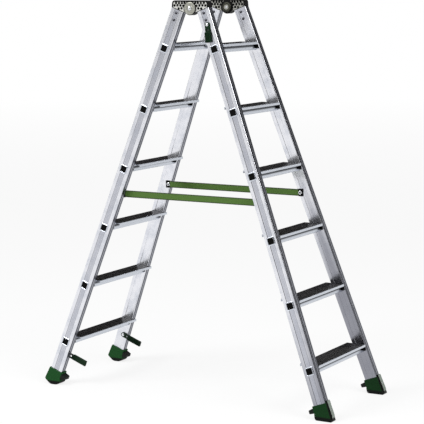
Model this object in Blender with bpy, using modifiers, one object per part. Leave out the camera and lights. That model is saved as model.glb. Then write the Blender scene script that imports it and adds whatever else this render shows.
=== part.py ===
"""A folding double-sided ladder: two flared sections of flat treads on a pair of cast top hinges.

Units are metres, +Z is up and the floor is Z = 0. The hinge axis runs along Y, with the front at -Y.
A section has its own frame at the middle of the hinge axis: x points away from the other section, square
to the stiles, and z points up along them. A distance down the stile is called s, so z = -s. Across a stile,
n is measured from its centre line. The left section is the right one turned half round about Z.
"""

import math

import bmesh
import bpy
from mathutils import Matrix, Vector

# Whole ladder
HALF_ANGLE = math.radians(20.3)
TREAD_COUNT = 6
TREAD_PITCH = 0.250
FIRST_TREAD = 0.180
PIVOT_OFFSET = 0.0505
TOP_WIDTH = 0.3145
FLARE = 0.0555
GAP = 0.0003

# Stile section
STILE_DEPTH = 0.052
STILE_WIDTH = 0.030
STILE_WALL = 0.0022
STILE_ROUND = 0.003
CHANNEL_HALF = 0.009
CHANNEL_DEPTH = 0.0008
GROOVE_NEAR = 0.0035
GROOVE_FAR = 0.0065
STILE_TOP = 0.024
STILE_TAIL = 0.165

# Tread
TUBE_HALF = 0.014
TUBE_WALL = 0.002
TUBE_CLEARANCE = 0.0003
RIM_PROUD = 0.003
RIM_THICKNESS = 0.0025
DECK_TIP_GAP = 0.0021
DECK_OUTER = 0.0235
DECK_THICKNESS = 0.004
DECK_SINK = 0.0005
LIP_HEIGHT = 0.010
LIP_THICKNESS = 0.0025

# Foot
SOLE_THICKNESS = 0.025
FOOT_WALL = 0.004
FOOT_OVERLAP = 0.039
TOE_PROUD = 0.006
TOE_HEIGHT = 0.022
SOLE_OUTER_INSET = {"left": 0.026, "right": 0.0}
SOLE_INNER_INSET = {"left": 0.004, "right": -0.002}
HEEL_PROUD = {"left": 0.008, "right": 0.004}
HEEL_HEIGHT = {"left": 0.010, "right": 0.008}
FLANGE_RISE = 0.006
FLANGE_THICKNESS = 0.0035
LUG_GAP = 0.0016
LUG_HEIGHT = 0.014
LUG_BELOW_TOP = 0.011
LUG_TOP_SLOPE = 0.004
LUG_FOOT_SLOPE = 0.002
FOOT_SCREW_BELOW_TOP = 0.030
FOOT_SCREW_SHANK = 0.002
FOOT_SCREW_HEAD = 0.004
FOOT_SCREW_HEAD_HEIGHT = 0.0022
FOOT_SCREW_COVER = 0.0025

# Hinge
HEAD_RADIUS = 0.026
HEAD_CLEARANCE = 0.0008
CHEEK = 0.006
HINGE_CREST = 0.004
HINGE_END_INSET = 0.0015
HINGE_CORNER = 0.011
HEAD_FOOT_ANGLE = 325
NOSE_GAP = 0.0004
TONGUE_ROOT = 0.005
TONGUE_LENGTH = 0.054
TONGUE_CLEARANCE = 0.0006
RIVET_DEPTHS = (0.013, 0.041)
RIVET_SHANK = 0.004
RIVET_HEAD = 0.0056
RIVET_HEAD_HEIGHT = 0.0028

# Hinge pivot and its lock button
BARREL_RADIUS = 0.010
FLANGE_RADIUS = 0.024
PIVOT_FLANGE_THICKNESS = 0.003
BARREL_WALL = 0.0017
BUTTON_PROUD = 0.007
BUTTON_DOME = 0.003
BUTTON_DEPTH = 0.005
STEM_RADIUS = 0.0049
STEM_INSET = 0.001
SPRING_ROOM = 0.009
SPRING_TURNS = 4
SPRING_TURN_POINTS = 10
SPRING_WIRE = 0.0006
NUT_RADIUS = 0.019
NUT_THICKNESS = 0.006

# Strap
STRAP_TREAD = 3
STRAP_BELOW_TREAD = 0.100
STRAP_WIDTH = 0.025
STRAP_THICKNESS = 0.0016
STRAP_END = 0.011
STRAP_STAND_OFF = 0.0011
STUD_PLACE = -0.018
STUD_SHANK = 0.003
STUD_HEAD = 0.0075
STUD_HEAD_HEIGHT = 0.0022

# Catch levers
CATCH_EYE_RADIUS = 0.010
CATCH_EYE_THICKNESS = 0.005
CATCH_HOLE_SPACING = 0.019
CATCH_GRIP_START = 0.028
CATCH_GRIP_WIDTH = 0.023
CATCH_GRIP_THICKNESS = 0.010
CATCH_GRIP_ROUND = 0.002
LOW_CATCH_REACH = 0.093
LOW_CATCH_ABOVE_FOOT = 0.068
LOW_CATCH_INSET = 0.008
TOP_CATCH_REACH = 0.067
TOP_CATCH_BELOW_TOP = 0.060
TOP_CATCH_OUTSET = 0.002
TOP_CATCH_TURN = math.radians(-13.5)
CATCH_RIVET_SHANK = 0.0035
CATCH_RIVET_HEAD = 0.006
CATCH_RIVET_HEAD_HEIGHT = 0.0026

# Sizes worked out from the ones above
SIN = math.sin(HALF_ANGLE)
COS = math.cos(HALF_ANGLE)
STILE_END = FIRST_TREAD + (TREAD_COUNT - 1) * TREAD_PITCH + STILE_TAIL
PIVOT_HEIGHT = (STILE_END + SOLE_THICKNESS) * COS - PIVOT_OFFSET * SIN
FOOT_TOP = STILE_END - FOOT_OVERLAP
FOOT_HALF = STILE_DEPTH / 2 + FOOT_WALL
RIM_HALF = TUBE_HALF + RIM_PROUD
DECK_TOP = TUBE_HALF - DECK_SINK + DECK_THICKNESS
DECK_INNER = (PIVOT_OFFSET + (DECK_TOP - LIP_HEIGHT) * SIN - DECK_TIP_GAP / 2) / COS
HINGE_FACE = TOP_WIDTH / 2 + FLARE * STILE_TOP
HINGE_TOP = HEAD_RADIUS + HINGE_CREST
HINGE_END = (PIVOT_OFFSET + STILE_DEPTH / 2) * COS + STILE_TOP * SIN - HINGE_END_INSET
TONGUE_END = STILE_TOP + TONGUE_LENGTH
RIVET_PLACES = [STILE_TOP + depth for depth in RIVET_DEPTHS]
BUTTON_RADIUS = BARREL_RADIUS - BARREL_WALL - GAP
LOW_CATCH_PLACE = (-LOW_CATCH_INSET, FOOT_TOP - LOW_CATCH_ABOVE_FOOT)
STUD_S = FIRST_TREAD + (STRAP_TREAD - 1) * TREAD_PITCH + STRAP_BELOW_TREAD
STUD_X = (PIVOT_OFFSET + STUD_PLACE) * COS + STUD_S * SIN
STRAP_HEIGHT = PIVOT_HEIGHT + (PIVOT_OFFSET + STUD_PLACE) * SIN - STUD_S * COS
TOP_CATCH_PLACE = (TOP_CATCH_OUTSET, STILE_TOP + TOP_CATCH_BELOW_TOP)
FRONT_SIGN = {"left": 1, "right": -1}
ROUND_STEPS = 20
RIVET_STEPS = 12
EXTRUDE_TO_Y = Matrix.Rotation(math.radians(90), 4, "X")


def tread_place(index):
    """Distance down the stile of a tread, counted from 0 at the top."""
    return FIRST_TREAD + index * TREAD_PITCH


def outer_y(s):
    """Half of the ladder's outer width at a distance s down the stile."""
    return TOP_WIDTH / 2 + FLARE * s


def inner_y(s):
    """Half of the clear width between the stiles at s."""
    return outer_y(s) - STILE_WIDTH


def upright(x, z):
    """A point given level with the floor, x outwards and z up from the hinge axis, in the section frame."""
    return x * COS + z * SIN, z * COS - x * SIN


def above_floor(n, height):
    """The section-frame point at n across the stile and a height above the floor."""
    x = PIVOT_OFFSET + n
    return x, (height - PIVOT_HEIGHT - x * SIN) / COS


def arc(centre, radius, start, end, count):
    """Points on an arc, angles in degrees, both ends included."""
    angles = [math.radians(start + (end - start) * i / (count - 1)) for i in range(count)]
    return [(centre[0] + radius * math.cos(a), centre[1] + radius * math.sin(a)) for a in angles]


def circle(centre, radius, count):
    """A closed round outline."""
    return arc(centre, radius, 0, 360 * (count - 1) / count, count)


def round_rectangle(width, height, radius):
    """A rectangle with round corners, centred on the origin."""
    a, b = width / 2 - radius, height / 2 - radius
    corners = [((a, b), 0), ((-a, b), 90), ((-a, -b), 180), ((a, -b), 270)]
    return [point for centre, start in corners for point in arc(centre, radius, start, start + 90, 4)]


def pin_profile(head_radius, head_height, seat, shank_radius, tip):
    """Half of a pin, to be turned: a domed head on its seat and a shank down to its tip."""
    return [
        (0, seat + head_height),
        (0.55 * head_radius, seat + 0.85 * head_height),
        (0.92 * head_radius, seat + 0.4 * head_height),
        (head_radius, seat),
        (shank_radius, seat),
        (shank_radius, tip),
    ]


# Scene and helpers

for old in list(bpy.data.objects):
    bpy.data.objects.remove(old, do_unlink=True)

parts = bpy.data.collections.new("multi_position_ladder")
cutters = bpy.data.collections.new("cutters")
bpy.context.scene.collection.children.link(parts)
bpy.context.scene.collection.children.link(cutters)


def finish(name, colour, roughness, metallic):
    """A plain material of one finish."""
    material = bpy.data.materials.new(name)
    material.use_nodes = True
    shader = material.node_tree.nodes["Principled BSDF"]
    shader.inputs["Base Color"].default_value = (*colour, 1)
    shader.inputs["Roughness"].default_value = roughness
    shader.inputs["Metallic"].default_value = metallic
    material.diffuse_color = (*colour, 1)
    return material


FINISHES = {
    "stile": ("extruded aluminium", (0.72, 0.74, 0.77), 0.35, 1.0),
    "tread": ("ribbed aluminium tread", (0.30, 0.30, 0.31), 0.40, 1.0),
    "foot": ("green foot plastic", (0.03, 0.11, 0.04), 0.55, 0.0),
    "arm": ("cast hinge alloy", (0.16, 0.16, 0.16), 0.50, 1.0),
    "pivot": ("turned hinge steel", (0.50, 0.50, 0.47), 0.35, 1.0),
    "bright": ("bright plated steel", (0.85, 0.85, 0.85), 0.20, 1.0),
    "strap": ("green webbing", (0.10, 0.26, 0.06), 0.85, 0.0),
    "catch": ("dark green catch plastic", (0.01, 0.05, 0.02), 0.45, 0.0),
}


def evaluated_mesh(holder):
    """The mesh of a scratch object with its modifiers, merged and facing out. The scratch object goes."""
    parts.objects.link(holder)
    graph = bpy.context.evaluated_depsgraph_get()
    graph.update()
    mesh = bpy.data.meshes.new_from_object(holder.evaluated_get(graph))
    bpy.data.objects.remove(holder)
    shape = bmesh.new()
    shape.from_mesh(mesh)
    bmesh.ops.remove_doubles(shape, verts=shape.verts, dist=1e-6)
    bmesh.ops.recalc_face_normals(shape, faces=shape.faces)
    shape.to_mesh(mesh)
    shape.free()
    return mesh


def extruded(outlines, thickness):
    """Flat closed outlines in XY, the later ones holes, extruded half of thickness to each side along Z."""
    curve = bpy.data.curves.new("outline", "CURVE")
    curve.dimensions = "2D"
    curve.fill_mode = "BOTH"
    curve.extrude = thickness / 2
    for points in outlines:
        spline = curve.splines.new("POLY")
        spline.points.add(len(points) - 1)
        for target, (x, y) in zip(spline.points, points):
            target.co = (x, y, 0, 1)
        spline.use_cyclic_u = True
    return evaluated_mesh(bpy.data.objects.new("outline", curve))


def turned(profile, steps, hollow=False):
    """A shape turned about Z from (radius, height) points that run down its outer side."""
    last = len(profile) - 1
    edges = [(i, i + 1) for i in range(last)]
    if hollow:
        edges.append((last, 0))
    mesh = bpy.data.meshes.new("profile")
    mesh.from_pydata([(radius, 0, height) for radius, height in profile], edges, [])
    holder = bpy.data.objects.new("turned", mesh)
    screw = holder.modifiers.new("turn", "SCREW")
    screw.steps = steps
    screw.render_steps = steps
    screw.use_merge_vertices = True
    screw.merge_threshold = 0.00001
    solid = evaluated_mesh(holder)
    solid.shade_smooth()
    solid.set_sharp_from_angle(angle=math.radians(35))
    return solid


def add(name, mesh, kind, parent=None, place=None):
    """A finished piece, in its parent's frame, with a material of its own."""
    piece = bpy.data.objects.new(name, mesh)
    parts.objects.link(piece)
    words, colour, roughness, metallic = FINISHES[kind]
    mesh.materials.clear()
    mesh.materials.append(finish(f"{name} {words}", colour, roughness, metallic))
    piece.parent = parent
    if place is not None:
        piece.matrix_local = place
    return piece


def combine(piece, mesh, operation):
    """Cuts a mesh, given in the piece's own coordinates, out of the piece, or joins it on."""
    tool = bpy.data.objects.new(f"{piece.name}_{operation.lower()}", mesh)
    cutters.objects.link(tool)
    tool.parent = piece
    tool.hide_render = True
    tool.display_type = "WIRE"
    boolean = piece.modifiers.new(operation.lower(), "BOOLEAN")
    boolean.operation = operation
    boolean.object = tool
    boolean.solver = "EXACT"


class Tools:
    """Boxes and round bars collected into one mesh, to cut with."""

    def __init__(self):
        self.shape = bmesh.new()

    def box(self, place, size):
        bmesh.ops.create_cube(self.shape, size=1, matrix=place @ Matrix.Diagonal((*size, 1)))

    def bar(self, place, radius, low, high, segments=ROUND_STEPS):
        """A round bar along the place's z, from low to high."""
        middle = place @ Matrix.Translation((0, 0, (low + high) / 2))
        bmesh.ops.create_cone(self.shape, cap_ends=True, segments=segments, radius1=radius,
                              radius2=radius, depth=high - low, matrix=middle)

    def mesh(self):
        mesh = bpy.data.meshes.new("tools")
        self.shape.to_mesh(mesh)
        self.shape.free()
        return mesh


def empty(name, location, rotation=(0, 0, 0), parent=None):
    """A frame that pieces hang on."""
    frame = bpy.data.objects.new(name, None)
    parts.objects.link(frame)
    frame.location = location
    frame.rotation_euler = rotation
    frame.parent = parent
    return frame


sections = {
    "right": empty("right_section_frame", (0, 0, PIVOT_HEIGHT), (0, -HALF_ANGLE, 0)),
    "left": empty("left_section_frame", (0, 0, PIVOT_HEIGHT), (0, -HALF_ANGLE, math.pi)),
}


def y_sign(section, row):
    """Which way y runs in a section's frame at its front or back stile."""
    return FRONT_SIGN[section] if row == "front" else -FRONT_SIGN[section]


def follow_stile(mesh, sign):
    """Moves a mesh built around y = 0 onto a stile's centre line, leaning with the flare."""
    lean = Matrix.Identity(4)
    lean[1][2] = -sign * FLARE
    lean[1][3] = sign * (TOP_WIDTH - STILE_WIDTH) / 2
    mesh.transform(lean)
    return mesh


def on_face(n, s, sign, side, turn=0.0):
    """The frame of a point on a stile's face: z out of the face, x down the stile and then turned."""
    normal = Vector((0, sign, FLARE)).normalized()
    face_y = outer_y(s)
    if side == "inner":
        normal = -normal
        face_y = inner_y(s)
    down = Vector((0, sign * FLARE, -1)).normalized()
    across = normal.cross(down)
    frame = Matrix((down, across, normal)).transposed().to_4x4()
    frame.translation = (PIVOT_OFFSET + n, sign * face_y, -s)
    return frame @ Matrix.Rotation(turn, 4, "Z")


# Stiles: box extrusions with a shallow channel in each wide face and two grooves in each edge


def stile_outline():
    """The outer outline of the stile, built from one quarter."""
    a, b = STILE_DEPTH / 2, STILE_WIDTH / 2
    quarter = [
        (a, GROOVE_NEAR),
        (a - CHANNEL_DEPTH, GROOVE_NEAR),
        (a - CHANNEL_DEPTH, GROOVE_FAR),
        (a, GROOVE_FAR),
        *arc((a - STILE_ROUND, b - STILE_ROUND), STILE_ROUND, 0, 90, 4),
        (CHANNEL_HALF + CHANNEL_DEPTH, b),
        (CHANNEL_HALF, b - CHANNEL_DEPTH),
    ]
    half = quarter + [(-x, y) for x, y in reversed(quarter)]
    return half + [(-x, -y) for x, y in half]


def stile_bore():
    """The inside of the stile's walls."""
    a, b = STILE_DEPTH / 2 - STILE_WALL, STILE_WIDTH / 2 - STILE_WALL
    return [(a, b), (-a, b), (-a, -b), (a, -b)]


def has_low_catch(section):
    return section == "left"


def has_top_catch(section, row):
    return section == "right" and row == "front"


def make_stile(section, row):
    sign = y_sign(section, row)
    mesh = extruded([stile_outline(), stile_bore()], STILE_END - STILE_TOP)
    mesh.transform(Matrix.Translation((PIVOT_OFFSET, 0, -(STILE_TOP + STILE_END) / 2)))
    stile = add(f"{section}_{row}_stile", follow_stile(mesh, sign), "stile", sections[section])

    tools = Tools()
    hole = 2 * (TUBE_HALF + TUBE_CLEARANCE)
    level = Matrix.Rotation(HALF_ANGLE, 4, "Y")
    for index in range(TREAD_COUNT):
        s = tread_place(index)
        middle = Matrix.Translation((PIVOT_OFFSET, sign * (outer_y(s) - STILE_WIDTH / 2), -s))
        tools.box(middle @ level, (hole, 2 * STILE_WIDTH, hole))
    for s in RIVET_PLACES:
        tools.bar(on_face(0, s, sign, "outer"), RIVET_SHANK + GAP, -2 * STILE_WIDTH, STILE_WIDTH, RIVET_STEPS)
    stud = on_face(STUD_PLACE, STUD_S, sign, "inner")
    tools.bar(stud, STUD_SHANK + GAP, -2 * STILE_WALL, STILE_WALL, RIVET_STEPS)
    if has_low_catch(section):
        tools.bar(on_face(*LOW_CATCH_PLACE, sign, "inner"), CATCH_RIVET_SHANK + GAP,
                  -2 * STILE_WALL, STILE_WALL, RIVET_STEPS)
    if has_top_catch(section, row):
        tools.bar(on_face(*TOP_CATCH_PLACE, sign, "outer"), CATCH_RIVET_SHANK + GAP,
                  -2 * STILE_WALL, STILE_WALL, RIVET_STEPS)
    screw = foot_screw_frame(sign)
    tools.bar(screw, FOOT_SCREW_SHANK + GAP, STILE_DEPTH / 2 - 2 * STILE_WALL,
              STILE_DEPTH / 2 + STILE_WALL, RIVET_STEPS)
    combine(stile, tools.mesh(), "DIFFERENCE")


# Treads: a lipped deck on a square tube whose ends are flared outside the stiles


def follow_flare(mesh):
    """Slants the ends of a tread, built level around its tube's centre, to the faces of the flared stiles."""
    for vertex in mesh.vertices:
        down = vertex.co.x * SIN - vertex.co.z * COS
        vertex.co.y += FLARE * down * math.copysign(1, vertex.co.y)
    return mesh


def tread_tube(s):
    """The square tube: four turned steps give four sides, and the profile's ends are the flared rims."""
    face = outer_y(s) + GAP
    end = face + RIM_THICKNESS
    to_corner = math.sqrt(2)
    bore = TUBE_HALF - TUBE_WALL
    upper = [(bore, end), (RIM_HALF, end - RIM_THICKNESS / 2), (RIM_HALF, face), (TUBE_HALF, face)]
    lower = [(radius, -y) for radius, y in reversed(upper)]
    mesh = turned([(radius * to_corner, y) for radius, y in upper + lower], 4, hollow=True)
    mesh.transform(EXTRUDE_TO_Y @ Matrix.Rotation(math.radians(45), 4, "Z"))
    return follow_flare(mesh)


def tread_deck(s):
    """The deck plate with a lip along each long edge."""
    under = DECK_TOP - DECK_THICKNESS
    hem = DECK_TOP - LIP_HEIGHT
    outline = [
        (-DECK_INNER, DECK_TOP),
        (DECK_OUTER, DECK_TOP),
        (DECK_OUTER, hem),
        (DECK_OUTER - LIP_THICKNESS, hem),
        (DECK_OUTER - LIP_THICKNESS, under),
        (LIP_THICKNESS - DECK_INNER, under),
        (LIP_THICKNESS - DECK_INNER, hem),
        (-DECK_INNER, hem),
    ]
    mesh = extruded([outline], 2 * (inner_y(s) - GAP))
    mesh.transform(EXTRUDE_TO_Y)
    return follow_flare(mesh)


def make_tread(section, index):
    s = tread_place(index)
    place = Matrix.Translation((PIVOT_OFFSET, 0, -s)) @ Matrix.Rotation(HALF_ANGLE, 4, "Y")
    tread = add(f"{section}_tread_{index + 1}", tread_tube(s), "tread", sections[section], place)
    combine(tread, tread_deck(s), "UNION")


# Feet: moulded caps on the stile ends, with a bumper lug inside and a different sole on each section


def lug_outline():
    """The bumper lug and the inner side below it, from the bottom up."""
    top = FOOT_TOP + LUG_BELOW_TOP
    reach = LUG_GAP / 2
    side = PIVOT_OFFSET - FOOT_HALF
    return [
        (side, -(top + LUG_HEIGHT + LUG_FOOT_SLOPE)),
        (reach, -(top + LUG_HEIGHT)),
        (reach, -top),
        (side, -(top - LUG_TOP_SLOPE)),
    ]


def foot_outline(section):
    """The foot seen along Y. Its sole lies on the floor."""
    outside = PIVOT_OFFSET + FOOT_HALF
    upper = [(PIVOT_OFFSET - FOOT_HALF, -FOOT_TOP), (outside, -FOOT_TOP)]
    if section == "right":
        flange_top = -(FOOT_TOP - FLANGE_RISE)
        upper += [(outside, flange_top), (outside + FLANGE_THICKNESS, flange_top)]
    lower = [
        above_floor(FOOT_HALF + TOE_PROUD, TOE_HEIGHT),
        above_floor(FOOT_HALF - SOLE_OUTER_INSET[section], 0),
        above_floor(SOLE_INNER_INSET[section] - FOOT_HALF, 0),
        above_floor(-FOOT_HALF - HEEL_PROUD[section], HEEL_HEIGHT[section]),
    ]
    return upper + lower + lug_outline()


def foot_screw_frame(sign):
    """The foot screw's frame: z points outwards from the stile's centre line."""
    s = FOOT_TOP + FOOT_SCREW_BELOW_TOP
    middle = Matrix.Translation((PIVOT_OFFSET, sign * (outer_y(s) - STILE_WIDTH / 2), -s))
    return middle @ Matrix.Rotation(math.radians(90), 4, "Y")


def make_foot(section, row):
    sign = y_sign(section, row)
    mesh = extruded([foot_outline(section)], STILE_WIDTH + 2 * FOOT_WALL)
    mesh.transform(EXTRUDE_TO_Y)
    foot = add(f"{section}_{row}_foot", follow_stile(mesh, sign), "foot", sections[section])

    socket_depth = STILE_DEPTH + 2 * GAP
    socket_width = STILE_WIDTH + 2 * GAP
    socket = extruded([round_rectangle(socket_depth, socket_width, STILE_ROUND)], 2 * (FOOT_OVERLAP + GAP))
    socket.transform(Matrix.Translation((PIVOT_OFFSET, 0, -FOOT_TOP)))
    combine(foot, follow_stile(socket, sign), "DIFFERENCE")

    frame = foot_screw_frame(sign)
    seat = FOOT_HALF + FOOT_SCREW_COVER
    bore = Tools()
    bore.bar(frame, FOOT_SCREW_SHANK + GAP, STILE_DEPTH / 2 - STILE_WALL, seat + FOOT_WALL, RIVET_STEPS)
    combine(foot, bore.mesh(), "DIFFERENCE")
    recess = Tools()
    recess.bar(frame, FOOT_SCREW_HEAD + 2 * GAP, seat, seat + 2 * FOOT_WALL)
    combine(foot, recess.mesh(), "DIFFERENCE")

    tip = STILE_DEPTH / 2 - 2 * STILE_WALL
    profile = pin_profile(FOOT_SCREW_HEAD, FOOT_SCREW_HEAD_HEIGHT, seat + GAP, FOOT_SCREW_SHANK, tip)
    screw = turned(profile + [(0, tip)], RIVET_STEPS)
    add(f"{section}_{row}_foot_screw", screw, "bright", sections[section], frame)


# Hinge arms: castings that cap the stiles. The left arm is a fork and the right arm's head turns inside it


def arm_outline(head_radius):
    """The arm seen along Y: it caps the stile, runs level along the top and ends in a round head."""
    foot = -(STILE_TOP - GAP)
    half = STILE_DEPTH / 2
    cap = [(PIVOT_OFFSET - half, foot), (PIVOT_OFFSET + half, foot)]
    corner = (HINGE_END - HINGE_CORNER, HINGE_TOP - HINGE_CORNER)
    end = arc(corner, HINGE_CORNER, 0, 90, 5)
    nose = [(NOSE_GAP, HINGE_TOP)]
    head = arc((0, 0), head_radius, 90 - math.degrees(NOSE_GAP / head_radius), HEAD_FOOT_ANGLE, 25)
    return cap + [upright(x, z) for x, z in end + nose + head]


def hinge_axis_frame(sign):
    """A frame on the hinge axis at the arm's outer face, z pointing out of the ladder."""
    out = Matrix.Rotation(math.radians(-90 * sign), 4, "X")
    return Matrix.Translation((0, sign * HINGE_FACE, 0)) @ out


def make_arm(section, row):
    sign = y_sign(section, row)
    fork = section == "left"
    running = HEAD_RADIUS if fork else HEAD_RADIUS - HEAD_CLEARANCE
    mesh = extruded([arm_outline(running)], STILE_WIDTH)
    mesh.transform(Matrix.Translation((0, sign * (HINGE_FACE - STILE_WIDTH / 2), 0)) @ EXTRUDE_TO_Y)
    arm = add(f"{row}_hinge_{section}_arm", mesh, "arm", sections[section])

    tongue = Tools()
    inset = STILE_WALL + TONGUE_CLEARANCE
    root = STILE_TOP - TONGUE_ROOT
    middle = Matrix.Translation((PIVOT_OFFSET, 0, -(root + TONGUE_END) / 2))
    tongue.box(middle, (STILE_DEPTH - 2 * inset, STILE_WIDTH - 2 * inset, TONGUE_END - root))
    combine(arm, follow_stile(tongue.mesh(), sign), "UNION")

    tools = Tools()
    axis = hinge_axis_frame(sign)
    swing = HEAD_RADIUS + HEAD_CLEARANCE
    if fork:
        tools.bar(axis, swing, CHEEK - STILE_WIDTH, -CHEEK, 2 * ROUND_STEPS)
    else:
        tools.bar(axis, swing, -CHEEK - GAP, CHEEK, 2 * ROUND_STEPS)
        tools.bar(axis, swing, -STILE_WIDTH - CHEEK, CHEEK + GAP - STILE_WIDTH, 2 * ROUND_STEPS)
    combine(arm, tools.mesh(), "DIFFERENCE")

    holes = Tools()
    holes.bar(axis, BARREL_RADIUS + GAP, -2 * STILE_WIDTH, STILE_WIDTH)
    for s in RIVET_PLACES:
        holes.bar(on_face(0, s, sign, "outer"), RIVET_SHANK + GAP, -2 * STILE_WIDTH, STILE_WIDTH, RIVET_STEPS)
    combine(arm, holes.mesh(), "DIFFERENCE")

    seat = GAP - CHANNEL_DEPTH
    tail = -STILE_WIDTH - seat
    profile = pin_profile(RIVET_HEAD, RIVET_HEAD_HEIGHT, seat, RIVET_SHANK, tail) + [
        (RIVET_HEAD, tail),
        (RIVET_HEAD, tail - 0.7 * RIVET_HEAD_HEIGHT),
        (0, tail - RIVET_HEAD_HEIGHT),
    ]
    for number, s in enumerate(RIVET_PLACES, 1):
        add(f"{row}_hinge_{section}_rivet_{number}", turned(profile, RIVET_STEPS), "bright",
            sections[section], on_face(0, s, sign, "outer"))


# Hinge pivots: a flanged hollow barrel, its ring nut, and a sprung lock button in the bore


def spring_mesh():
    """A compression spring in the room under the button's head: one tube along a helix."""
    radius = (BUTTON_RADIUS + STEM_RADIUS) / 2
    margin = SPRING_WIRE + GAP
    top = -BUTTON_DEPTH - margin
    length = SPRING_ROOM - 2 * margin
    count = SPRING_TURNS * SPRING_TURN_POINTS + 1
    turns = [2 * math.pi * i / SPRING_TURN_POINTS for i in range(count)]
    points = [(radius * math.cos(a), radius * math.sin(a), top - length * i / (count - 1))
              for i, a in enumerate(turns)]
    print("least gap in the lock spring", length / SPRING_TURNS - 2 * SPRING_WIRE)
    curve = bpy.data.curves.new("spring", "CURVE")
    curve.dimensions = "3D"
    curve.bevel_depth = SPRING_WIRE
    curve.bevel_resolution = 1
    curve.use_fill_caps = True
    spline = curve.splines.new("POLY")
    spline.points.add(count - 1)
    for target, point in zip(spline.points, points):
        target.co = (*point, 1)
    return evaluated_mesh(bpy.data.objects.new("spring", curve))


def make_pivot(row):
    left = sections["left"]
    axis = hinge_axis_frame(y_sign("left", row))
    face = GAP + PIVOT_FLANGE_THICKNESS
    floor = -BUTTON_DEPTH - SPRING_ROOM
    end = -STILE_WIDTH - GAP - NUT_THICKNESS
    wide = BUTTON_RADIUS + GAP
    barrel = [
        (wide, face),
        (0.85 * FLANGE_RADIUS, face),
        (FLANGE_RADIUS, GAP + 0.4 * PIVOT_FLANGE_THICKNESS),
        (FLANGE_RADIUS, GAP),
        (BARREL_RADIUS, GAP),
        (BARREL_RADIUS, end),
        (STEM_RADIUS + GAP, end),
        (STEM_RADIUS + GAP, floor),
        (wide, floor),
    ]
    add(f"{row}_hinge_pivot", turned(barrel, ROUND_STEPS, hollow=True), "pivot", left, axis)

    seat = -STILE_WIDTH - GAP
    nut = [
        (BARREL_RADIUS + GAP, seat),
        (NUT_RADIUS, seat),
        (NUT_RADIUS, seat - 0.7 * NUT_THICKNESS),
        (0.85 * NUT_RADIUS, seat - NUT_THICKNESS),
        (BARREL_RADIUS + GAP, seat - NUT_THICKNESS),
    ]
    add(f"{row}_hinge_nut", turned(nut, ROUND_STEPS, hollow=True), "pivot", left, axis)

    button = [
        (0, BUTTON_PROUD),
        (0.55 * BUTTON_RADIUS, BUTTON_PROUD - 0.13 * BUTTON_DOME),
        (0.9 * BUTTON_RADIUS, BUTTON_PROUD - 0.53 * BUTTON_DOME),
        (BUTTON_RADIUS, BUTTON_PROUD - BUTTON_DOME),
        (BUTTON_RADIUS, -BUTTON_DEPTH),
        (STEM_RADIUS, -BUTTON_DEPTH),
        (STEM_RADIUS, end + STEM_INSET),
        (0, end + STEM_INSET),
    ]
    add(f"{row}_lock_button", turned(button, ROUND_STEPS), "bright", left, axis)
    add(f"{row}_lock_spring", spring_mesh(), "bright", left, axis)


# Straps: flat webbing, level between the stiles' inner faces, on a stud at each end


def make_strap(row):
    across = y_sign("right", row)
    half = STUD_X + STRAP_END
    edge = STRAP_WIDTH / 2
    band = [(-half, -edge), (half, -edge), (half, edge), (-half, edge)]
    holes = [circle((x, 0), STUD_SHANK + GAP, RIVET_STEPS) for x in (-STUD_X, STUD_X)]
    mesh = extruded([band, *holes], STRAP_THICKNESS)
    mesh.transform(EXTRUDE_TO_Y)
    lean = Matrix.Identity(4)
    lean[1][2] = -across * FLARE * COS
    mesh.transform(lean)
    y = across * (inner_y(STUD_S) - STRAP_STAND_OFF - STRAP_THICKNESS / 2)
    add(f"{row}_strap", mesh, "strap", None, Matrix.Translation((0, y, STRAP_HEIGHT)))

    seat = STRAP_STAND_OFF + STRAP_THICKNESS + 2 * GAP
    tip = -2 * STILE_WALL
    profile = pin_profile(STUD_HEAD, STUD_HEAD_HEIGHT, seat, STUD_SHANK, tip) + [(0, tip)]
    for section in sections:
        frame = on_face(STUD_PLACE, STUD_S, y_sign(section, row), "inner")
        add(f"{row}_strap_{section}_stud", turned(profile, RIVET_STEPS), "bright", sections[section], frame)


# Catch levers: a flat eye with two holes and a thicker grip, each turning on a rivet in a stile's face


def catch_mesh(reach):
    """The eye plate, lying on z = 0 with its pivot hole at the origin and the lever along x."""
    r = CATCH_EYE_RADIUS
    plate = arc((0, 0), r, 90, 270, 9) + [(reach - r, -r), (reach - r, r)]
    pivot_hole = circle((0, 0), CATCH_RIVET_SHANK + GAP, RIVET_STEPS)
    second_hole = circle((CATCH_HOLE_SPACING, 0), CATCH_RIVET_SHANK + GAP, RIVET_STEPS)
    mesh = extruded([plate, pivot_hole, second_hole], CATCH_EYE_THICKNESS)
    mesh.transform(Matrix.Translation((0, 0, CATCH_EYE_THICKNESS / 2)))
    return mesh


def catch_grip(reach):
    """The grip: a block with rounded edges."""
    holder_mesh = bpy.data.meshes.new("grip")
    block = bmesh.new()
    size = (reach - CATCH_GRIP_START, CATCH_GRIP_WIDTH, CATCH_GRIP_THICKNESS)
    centre = ((reach + CATCH_GRIP_START) / 2, 0, CATCH_GRIP_THICKNESS / 2)
    bmesh.ops.create_cube(block, size=1, matrix=Matrix.Translation(centre) @ Matrix.Diagonal((*size, 1)))
    block.to_mesh(holder_mesh)
    block.free()
    holder = bpy.data.objects.new("grip", holder_mesh)
    bevel = holder.modifiers.new("round", "BEVEL")
    bevel.width = CATCH_GRIP_ROUND
    bevel.segments = 2
    return evaluated_mesh(holder)


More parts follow.
